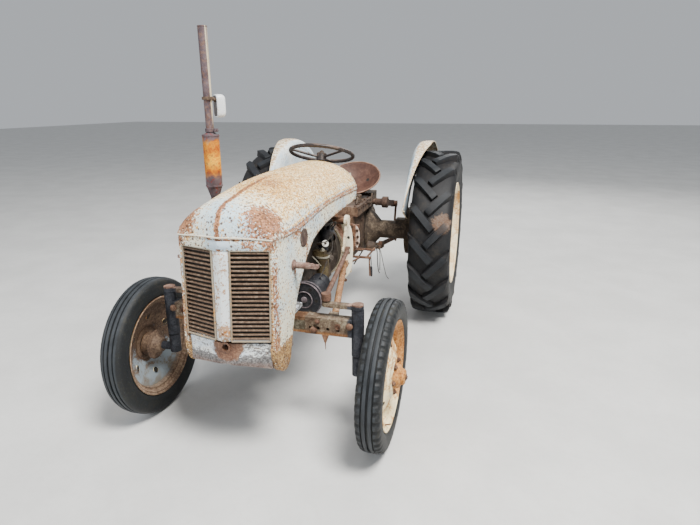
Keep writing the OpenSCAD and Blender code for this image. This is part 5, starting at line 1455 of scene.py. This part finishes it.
# ------------------------------------------------------------------ bell housing flanges
for sgn in (1, -1):
    tag = "left" if sgn > 0 else "right"
    outer = spline([(186, 890), (206, 882), (228, 862), (243, 826), (250, 768), (251, 720), (250, 677), (242, 596), (214, 543), (187, 517)], 36)
    inner = spline([(150, 890), (172, 872), (186, 845), (196, 806), (197, 740), (196, 715), (191, 691), (184, 630), (172, 570), (160, 530)], 36)
    rows = []
    for (xo, zo), (xi, zi) in zip(outer, inner):
        rows.append([(xi, 756, zi), (xi, 751, zi), (xi + (xo - xi) * 0.06, 749.5, zi + (zo - zi) * 0.06), (xi + (xo - xi) * 0.94, 749.5, zi + (zo - zi) * 0.94), (xo, 751, zo), (xo, 759.5, zo), (xi, 759.5, zi)])
    g = Geo().grid(rows, flip=False)
    g.cap(rows[0]); g.cap(rows[-1], flip=True)
    g.out("bell_flange_" + tag, m_flange, "chassis", mirror=sgn < 0, angle=40, slot="cream_paint")
    # dark discs: painted shade in the empty bolt holes
    g = Geo()
    for x, z in ((227, 784), (226, 700), (222, 625), (205, 560), (212, 850)):
        g.lathe([(0.3, 0), (0.3, 8.5)], (x, 749.5, z), (0, -1, 0), 20)
    g.out("bell_flange_hole_shade_" + tag, m_core_and_shade, "chassis", mirror=sgn < 0, smooth=False, slot="dark_iron")
    g = Geo()
    for x, z in ((190, 872), (206, 520)):
        g.hexbolt((x, 749.5, z), (0, -1, 0), 15, 7)
    g.out("bell_flange_bolts_" + tag, m_rod, "chassis", mirror=sgn < 0, slot="rusty_iron")
    # second flange, at the gearbox joint
    edge = spline([(150, 822), (196, 818), (222, 804), (235, 780), (240, 748), (240, 716), (235, 688), (224, 664), (204, 645), (150, 636)], 30)
    rows = [[(100, 962, z), (100, 951, z), (x - 2, 951, z), (x, 953, z), (x, 960, z), (x - 2, 962, z)] for x, z in edge]
    g = Geo().grid(rows, flip=True)
    g.cap(rows[0], flip=True); g.cap(rows[-1])
    g.out("gearbox_flange_" + tag, m_flange2, "chassis", mirror=sgn < 0, angle=40, slot="cream_paint")
    g = Geo()
    for x, z in ((226, 778), (230, 738), (228, 700), (216, 668)):
        g.hexbolt((x, 951, z), (0, -1, 0), 13, 6)
    for x, z in ((190, 800), (180, 655), (196, 735), (190, 700)):
        g.hexbolt((x, 951, z), (0, -1, 0), 15, 7)
    g.out("gearbox_flange_bolts_" + tag, m_lift, "chassis", mirror=sgn < 0, slot="rusty_iron")
    # bolts and lumps of the gearbox case
    g = Geo()
    for y in range(1285, 1650, 62):
        g.hexbolt((150.3, y, 846), (1, 0, 0), 14, 7)
    for y in range(1010, 1540, 75):
        g.hexbolt((118.3, y, 588), (1, 0, 0), 13, 6)
    for y, z in ((1340, 700), (1420, 660), (1480, 730)):
        g.hexbolt((118.3, y, z), (1, 0, 0), 19, 8)
    for y in range(1270, 1740, 90):
        g.hexbolt((128, y, 862.3), (0, 0, 1), 14, 8)
    g.lathe([(0, 46), (5, 46), (8, 42), (8, 14), (16, 12), (16, 0)], (118.2, 1200, 650), (1, 0, 0), 32)
    g.out("gearbox_bolts_" + tag, m_lift, "chassis", mirror=sgn < 0, slot="rusty_iron")

# lumps on top of the lift housing: filler, control shaft and its quadrant
g = Geo()
g.lathe([(0, 26), (10, 25), (12, 20), (34, 19), (36, 23), (44, 22), (48, 15), (48, 0)], (96, 1490, 862), (0, 0, 1), 28)
g.lathe([(0, 18), (14, 17), (16, 12), (30, 11), (31, 0)], (112, 1400, 862), (0, 0, 1), 24)
g.tube([(96, 1455, 884), (104, 1420, 900), (112, 1400, 896), (118, 1360, 886), (122, 1320, 868)], 6, 10)
g.tube([(150, 1560, 842), (172, 1560, 842)], 13, 16)
g.tube([(168, 1560, 842), (170, 1575, 880), (170, 1592, 905)], [8, 6, 5], 10)
g.tube([(-96, 1440, 868), (-40, 1440, 880), (20, 1440, 880), (70, 1450, 872)], 7, 10)
g.lathe([(0, 24), (12, 23), (14, 16), (26, 15), (27, 0)], (-90, 1340, 862), (0, 0, 1), 24)
g.out("lift_housing_fittings", m_dark, "chassis", slot="dark_iron")
# thick part of the lift's cross shaft, outside the housing
for sgn in (1, -1):
    g = Geo()
    g.lathe([(0, SHAFT_R), (0, 25), (3, 28), (12, 28), (14, 26), (44, 26), (47, 29), (56, 29), (56, SHAFT_R)], (172, SHAFT_Y, SHAFT_Z), (1, 0, 0), 40)
    g.out("lift_shaft_sleeve_" + ("left" if sgn > 0 else "right"), m_lift, "lift_arm_body", mirror=sgn < 0, slot="rusty_iron")

# ------------------------------------------------------------------ engine dressing
g = Geo()
for r, yy in ((86, 150), (86, 158), (84, 185)):
    g.tube([(168 + r * math.cos(a), yy, 612 + r * math.sin(a)) for a in np.linspace(0, 2 * math.pi, 49)], 2.4, 8, caps=False)
g.tube([(168 + 41 * math.cos(a), 149, 612 + 41 * math.sin(a)) for a in np.linspace(0, 2 * math.pi, 41)], 3.0, 8, caps=False)
g.lathe([(0, 16), (6, 15), (10, 9), (10, 0)], (168, 150, 612), (0, -1, 0), 24)
g.out("dynamo_pulley_rims", m_pulley, "chassis", slot="rusty_iron")
# dark discs: painted shade in the pulley's holes
g = Geo()
for a in range(0, 360, 60):
    q = math.radians(a)
    g.lathe([(0.4, 0), (0.4, 9)], (168 + 62 * math.cos(q), 150, 612 + 62 * math.sin(q)), (0, -1, 0), 16)
g.out("dynamo_pulley_hole_shade", m_core_and_shade, "chassis", smooth=False, slot="dark_iron")
g = Geo()
for yy in (190, 396):
    g.lathe([(-6, 56.2), (-5, 58.5), (5, 58.5), (6, 56.2)], (168, yy, 612), (0, 1, 0), 40)
for yy in (240, 340):
    g.lathe([(-9, 56.1), (-8, 57.6), (8, 57.6), (9, 56.1)], (168, yy, 612), (0, 1, 0), 40)
for a in (30, 150, 270):
    q = math.radians(a)
    g.hexbolt((168 + 46 * math.cos(q), 400, 612 + 46 * math.sin(q)), (0, 1, 0), 11, 5)
g.hexbolt((168, 300, 668), (0, 0, 1), 12, 8, 6)
g.hexbolt((190, 330, 663.5), (0.3, 0, 1), 10, 6, 5)
g.out("dynamo_bands", m_black, "chassis", slot="dark_iron")
# white porcelain disc with a dark middle, on a stalk from the block
g = Geo()
dn = np.array([0.45, -0.80, 0.38]); dn /= np.linalg.norm(dn)
dc = np.array([172.8, 480, 813])
g.lathe([(-5, 0), (-5, 15), (-2, 19), (2, 18), (3, 13), (1, 7), (1, 0)], dc, dn, 32)
g.out("porcelain_disc", m_porcelain, "chassis", slot="cream_paint")
g = Geo()
g.lathe([(1.4, 6.8), (4.5, 5.5), (6, 0)], dc, dn, 20)
g.tube([dc - dn * 4, dc - dn * 16 + np.array([-8, 6, -4]), (118, 500, 800)], 5, 10)
g.out("porcelain_disc_bolt", m_dark, "chassis", slot="dark_iron")
# cast lump with pipe stubs between filter and distributor
g = Geo()
g.lathe([(-30, 0), (-30, 18), (-24, 22), (-6, 24), (2, 19), (10, 21), (22, 17), (30, 12), (30, 0)], (166, 540, 712), (0.25, 0.35, 1), 28)
g.lathe([(0, 12), (16, 12), (18, 15), (26, 15), (28, 9), (28, 0)], (176, 528, 722), (0.8, -0.55, 0.15), 20)
g.lathe([(0, 10), (14, 9), (15, 12), (22, 12), (22, 0)], (164, 520, 700), (0.2, -1, 0.3), 18)
g.hexbolt((176, 548, 738), (0.3, 0.1, 1), 14, 8, 6)
g.tube([(112, 556, 700), (140, 548, 706), (160, 540, 710)], 13, 12)
g.out("carburettor_lump", m_engine, "chassis", slot="alloy")
# filter bowl trim
g = Geo()
g.lathe([(-4, 34.2), (-3, 37), (5, 37), (6, 34.2)], (160, 470, 742), (0, 0, 1), 36)
g.hexbolt((160, 470, 775), (0, 0, 1), 19, 10, 5)
g.tube([(160, 436, 700), (160, 425, 705), (150, 410, 730), (125, 400, 760)], 4, 8)
g.hexbolt((160, 470, 586), (0, 0, -1), 17, 7)
g.out("filter_trim", m_alloy, "chassis", slot="alloy")
# distributor cap towers, coil and leads
g = Geo()
cap = np.array([166.0, 560, 878]); cn = np.array([18.0, 0, 40]); cn /= np.linalg.norm(cn)
tips = []
for k in range(5):
    a = 2 * math.pi * k / 4 + 0.5
    off = np.array([0.0, 0, 0]) if k == 4 else 24 * (math.cos(a) * np.array([0, 1.0, 0]) + math.sin(a) * np.cross(cn, [0, 1.0, 0]))
    p = cap + off
    g.lathe([(-3, 9), (10, 8), (16, 7), (17, 0)], p, cn, 16)
    tips.append(p + cn * 16)
g.out("distributor_towers", m_black, "chassis", slot="dark_iron")
g = Geo()
plugs = [(124, 225, 905), (124, 330, 905), (124, 445, 905), (124, 560, 905)]
for t, q in zip(tips[:4], plugs):
    t, q = np.array(t), np.array(q, float)
    up = np.array([14.0, 0, 26])
    mid = (t + q) / 2 + np.array([26.0, 0, 16])
    g.tube(spline([t, t + up, mid, q + np.array([34.0, 6, 12]), q + np.array([10.0, 0, 4]), q], 26), 4.2, 8)
g.tube(spline([tips[4], tips[4] + np.array([8.0, 20, 22]), (172, 610, 880), (166, 632, 846), (160, 640, 826)], 20), 4.2, 8)
g.tube(spline([(160, 612, 812), (176, 596, 790), (184, 560, 760), (176, 520, 744), (150, 500, 760), (118, 490, 790)], 30), 3.0, 8)
g.tube(spline([(118, 600, 700), (160, 610, 720), (188, 590, 760), (186, 560, 820), (168, 540, 850)], 30), 2.6, 8)
g.tube(spline([(190, 330, 672), (196, 380, 700), (190, 450, 722), (180, 520, 690), (150, 600, 680), (118, 640, 700)], 34), 2.8, 8)
g.tube(spline([(118, 380, 850), (150, 400, 838), (178, 450, 828), (186, 520, 836), (160, 590, 862), (118, 640, 880)], 34), 2.4, 8)
g.out("engine_leads", m_wire, "chassis", slot="black_paint")
g = Geo()
for q in plugs:
    g.lathe([(-6, 8), (4, 8), (5, 6), (16, 5.5), (18, 3), (22, 3)], q, (1, 0, 0.25), 14)
g.out("spark_plugs", m_porcelain, "chassis", slot="cream_paint")
g = Geo()
g.lathe([(0, 20), (0, 30.4), (4, 31.5), (6, 30.4)], (160, 612, 815), (0, 1, 0), 32)
for yy in (300, 380, 460, 540):
    g.hexbolt((110.4, yy, 640), (1, 0, 0), 13, 6)
for yy in (210, 300, 390, 480, 570, 650):
    g.hexbolt((110.4, yy, 868), (1, 0, 0), 12, 5)
g.tube(spline([(118, 700, 830), (150, 690, 836), (160, 660, 812), (164, 640, 790)], 16), 5, 10)
g.block((112, 690, 800), (140, 745, 850), 5)
g.block((112, 600, 560), (136, 700, 640), 6)
g.out("engine_fittings", m_dark, "chassis", slot="dark_iron")

# ------------------------------------------------------------------ loose pieces by the footrest
g = Geo()
g.tube(spline([(282, 1093, 589), (281, 1096, 560), (283, 1098, 530), (282, 1100, 505)], 12), 3.0, 8)
g.lathe([(0, 5), (6, 8), (30, 9), (62, 8), (70, 5), (72, 0)], (282, 1100, 506), (0.02, 0.05, -1), 16)
g.out("hanging_link", m_black, "chassis", slot="dark_iron")
g = Geo()
g.tube(spline([(276, 1206, 600), (286, 1230, 596), (292, 1236, 560), (296, 1230, 500), (300, 1240, 440), (304, 1262, 412)], 26), 3.2, 8)
g.tube(spline([(278, 1208, 602), (292, 1250, 606), (302, 1268, 560), (303, 1274, 500), (304, 1266, 430)], 26), 2.6, 8)
g.tube(spline([(280, 1208, 604), (296, 1262, 600), (308, 1300, 530), (318, 1335, 440), (330, 1370, 360), (342, 1392, 330)], 26), 2.2, 8)
g.tube([(200, 1319, 596), (176, 1240, 548), (150, 1157, 495)], 5.0, 10)
g.out("loose_wires", m_wire, "chassis", slot="black_paint")
g = Geo()
g.lathe([(0, 0), (0, 26), (8, 34), (50, 34), (58, 26), (58, 0)], (210, 1260, 600), (1, 0.1, -0.1), 28)
g.lathe([(0, 12), (30, 11), (34, 16), (42, 16), (44, 0)], (264, 1266, 594), (1, 0.1, -0.1), 20)
g.out("brake_boss", m_dark, "chassis", slot="dark_iron")

# ------------------------------------------------------------------ floor, light, camera
def floor_mat():
    M = Mat("floor_concrete")
    a = M.noise(2.2, 5, 0.6)
    b = M.noise(26, 6, 0.7)
    col = M.mix(M.step(a, 0.3, 0.7), (0.56, 0.56, 0.55), (0.63, 0.63, 0.62))
    col = M.mix(M.math('MULTIPLY', M.step(b, 0.45, 0.7), 0.25), col, (0.50, 0.50, 0.49))
    M.bump(b, 0.08, 0.002)
    return M.finish(col, 0.85)


bpy.ops.mesh.primitive_plane_add(size=60, location=(0, 8, 0))
floor = bpy.context.object
floor.name = "floor"
floor.data.materials.append(floor_mat())

world = bpy.data.worlds.new("studio")
bpy.context.scene.world = world
world.use_nodes = True
bg = world.node_tree.nodes["Background"]
bg.inputs[0].default_value = (0.86, 0.90, 0.95, 1)
bg.inputs[1].default_value = 0.56


def area(name, loc, target, size, energy, color):
    d = bpy.data.lights.new(name, 'AREA')
    d.shape = 'RECTANGLE'
    d.size, d.size_y = size
    d.energy = energy
    d.color = color
    o = bpy.data.objects.new(name, d)
    bpy.context.scene.collection.objects.link(o)
    o.location = loc
    o.rotation_euler = (Vector(target) - Vector(loc)).to_track_quat('-Z', 'Y').to_euler()
    return o


area("key", (2.7, -3.0, 6.4), (0, 0.0, 0.6), (2.2, 2.2), 1200, (1.0, 0.98, 0.94))
area("fill", (-4.6, -4.8, 3.4), (0, 0, 0.7), (4.0, 3.0), 200, (0.93, 0.96, 1.0))
area("back", (1.5, 6.0, 4.5), (0, 0, 0.9), (4.0, 2.5), 260, (1.0, 0.99, 0.97))

C = np.array([1029.58, -2110.97, 1535.56])
yaw, pitch, roll, f_px = -0.2709, 0.2955, -0.0038, 525.24
fwd = np.array([math.sin(yaw) * math.cos(pitch), math.cos(yaw) * math.cos(pitch), -math.sin(pitch)])
right = np.array([math.cos(yaw), -math.sin(yaw), 0])
up = np.cross(right, fwd)
r_ = math.cos(roll) * right + math.sin(roll) * up
u_ = -math.sin(roll) * right + math.cos(roll) * up
cam_d = bpy.data.cameras.new("camera")
cam_d.sensor_width = 36
cam_d.sensor_fit = 'HORIZONTAL'
cam_d.lens = 36 * f_px / 700
cam_d.clip_end = 100
cam = bpy.data.objects.new("camera", cam_d)
bpy.context.scene.collection.objects.link(cam)
Mx = Matrix(((r_[0], u_[0], -fwd[0]), (r_[1], u_[1], -fwd[1]), (r_[2], u_[2], -fwd[2]))).to_4x4()
Mx.translation = Vector(tuple(w(C)))
cam.matrix_world = Mx
bpy.context.scene.camera = cam

bpy.context.view_layer.update()
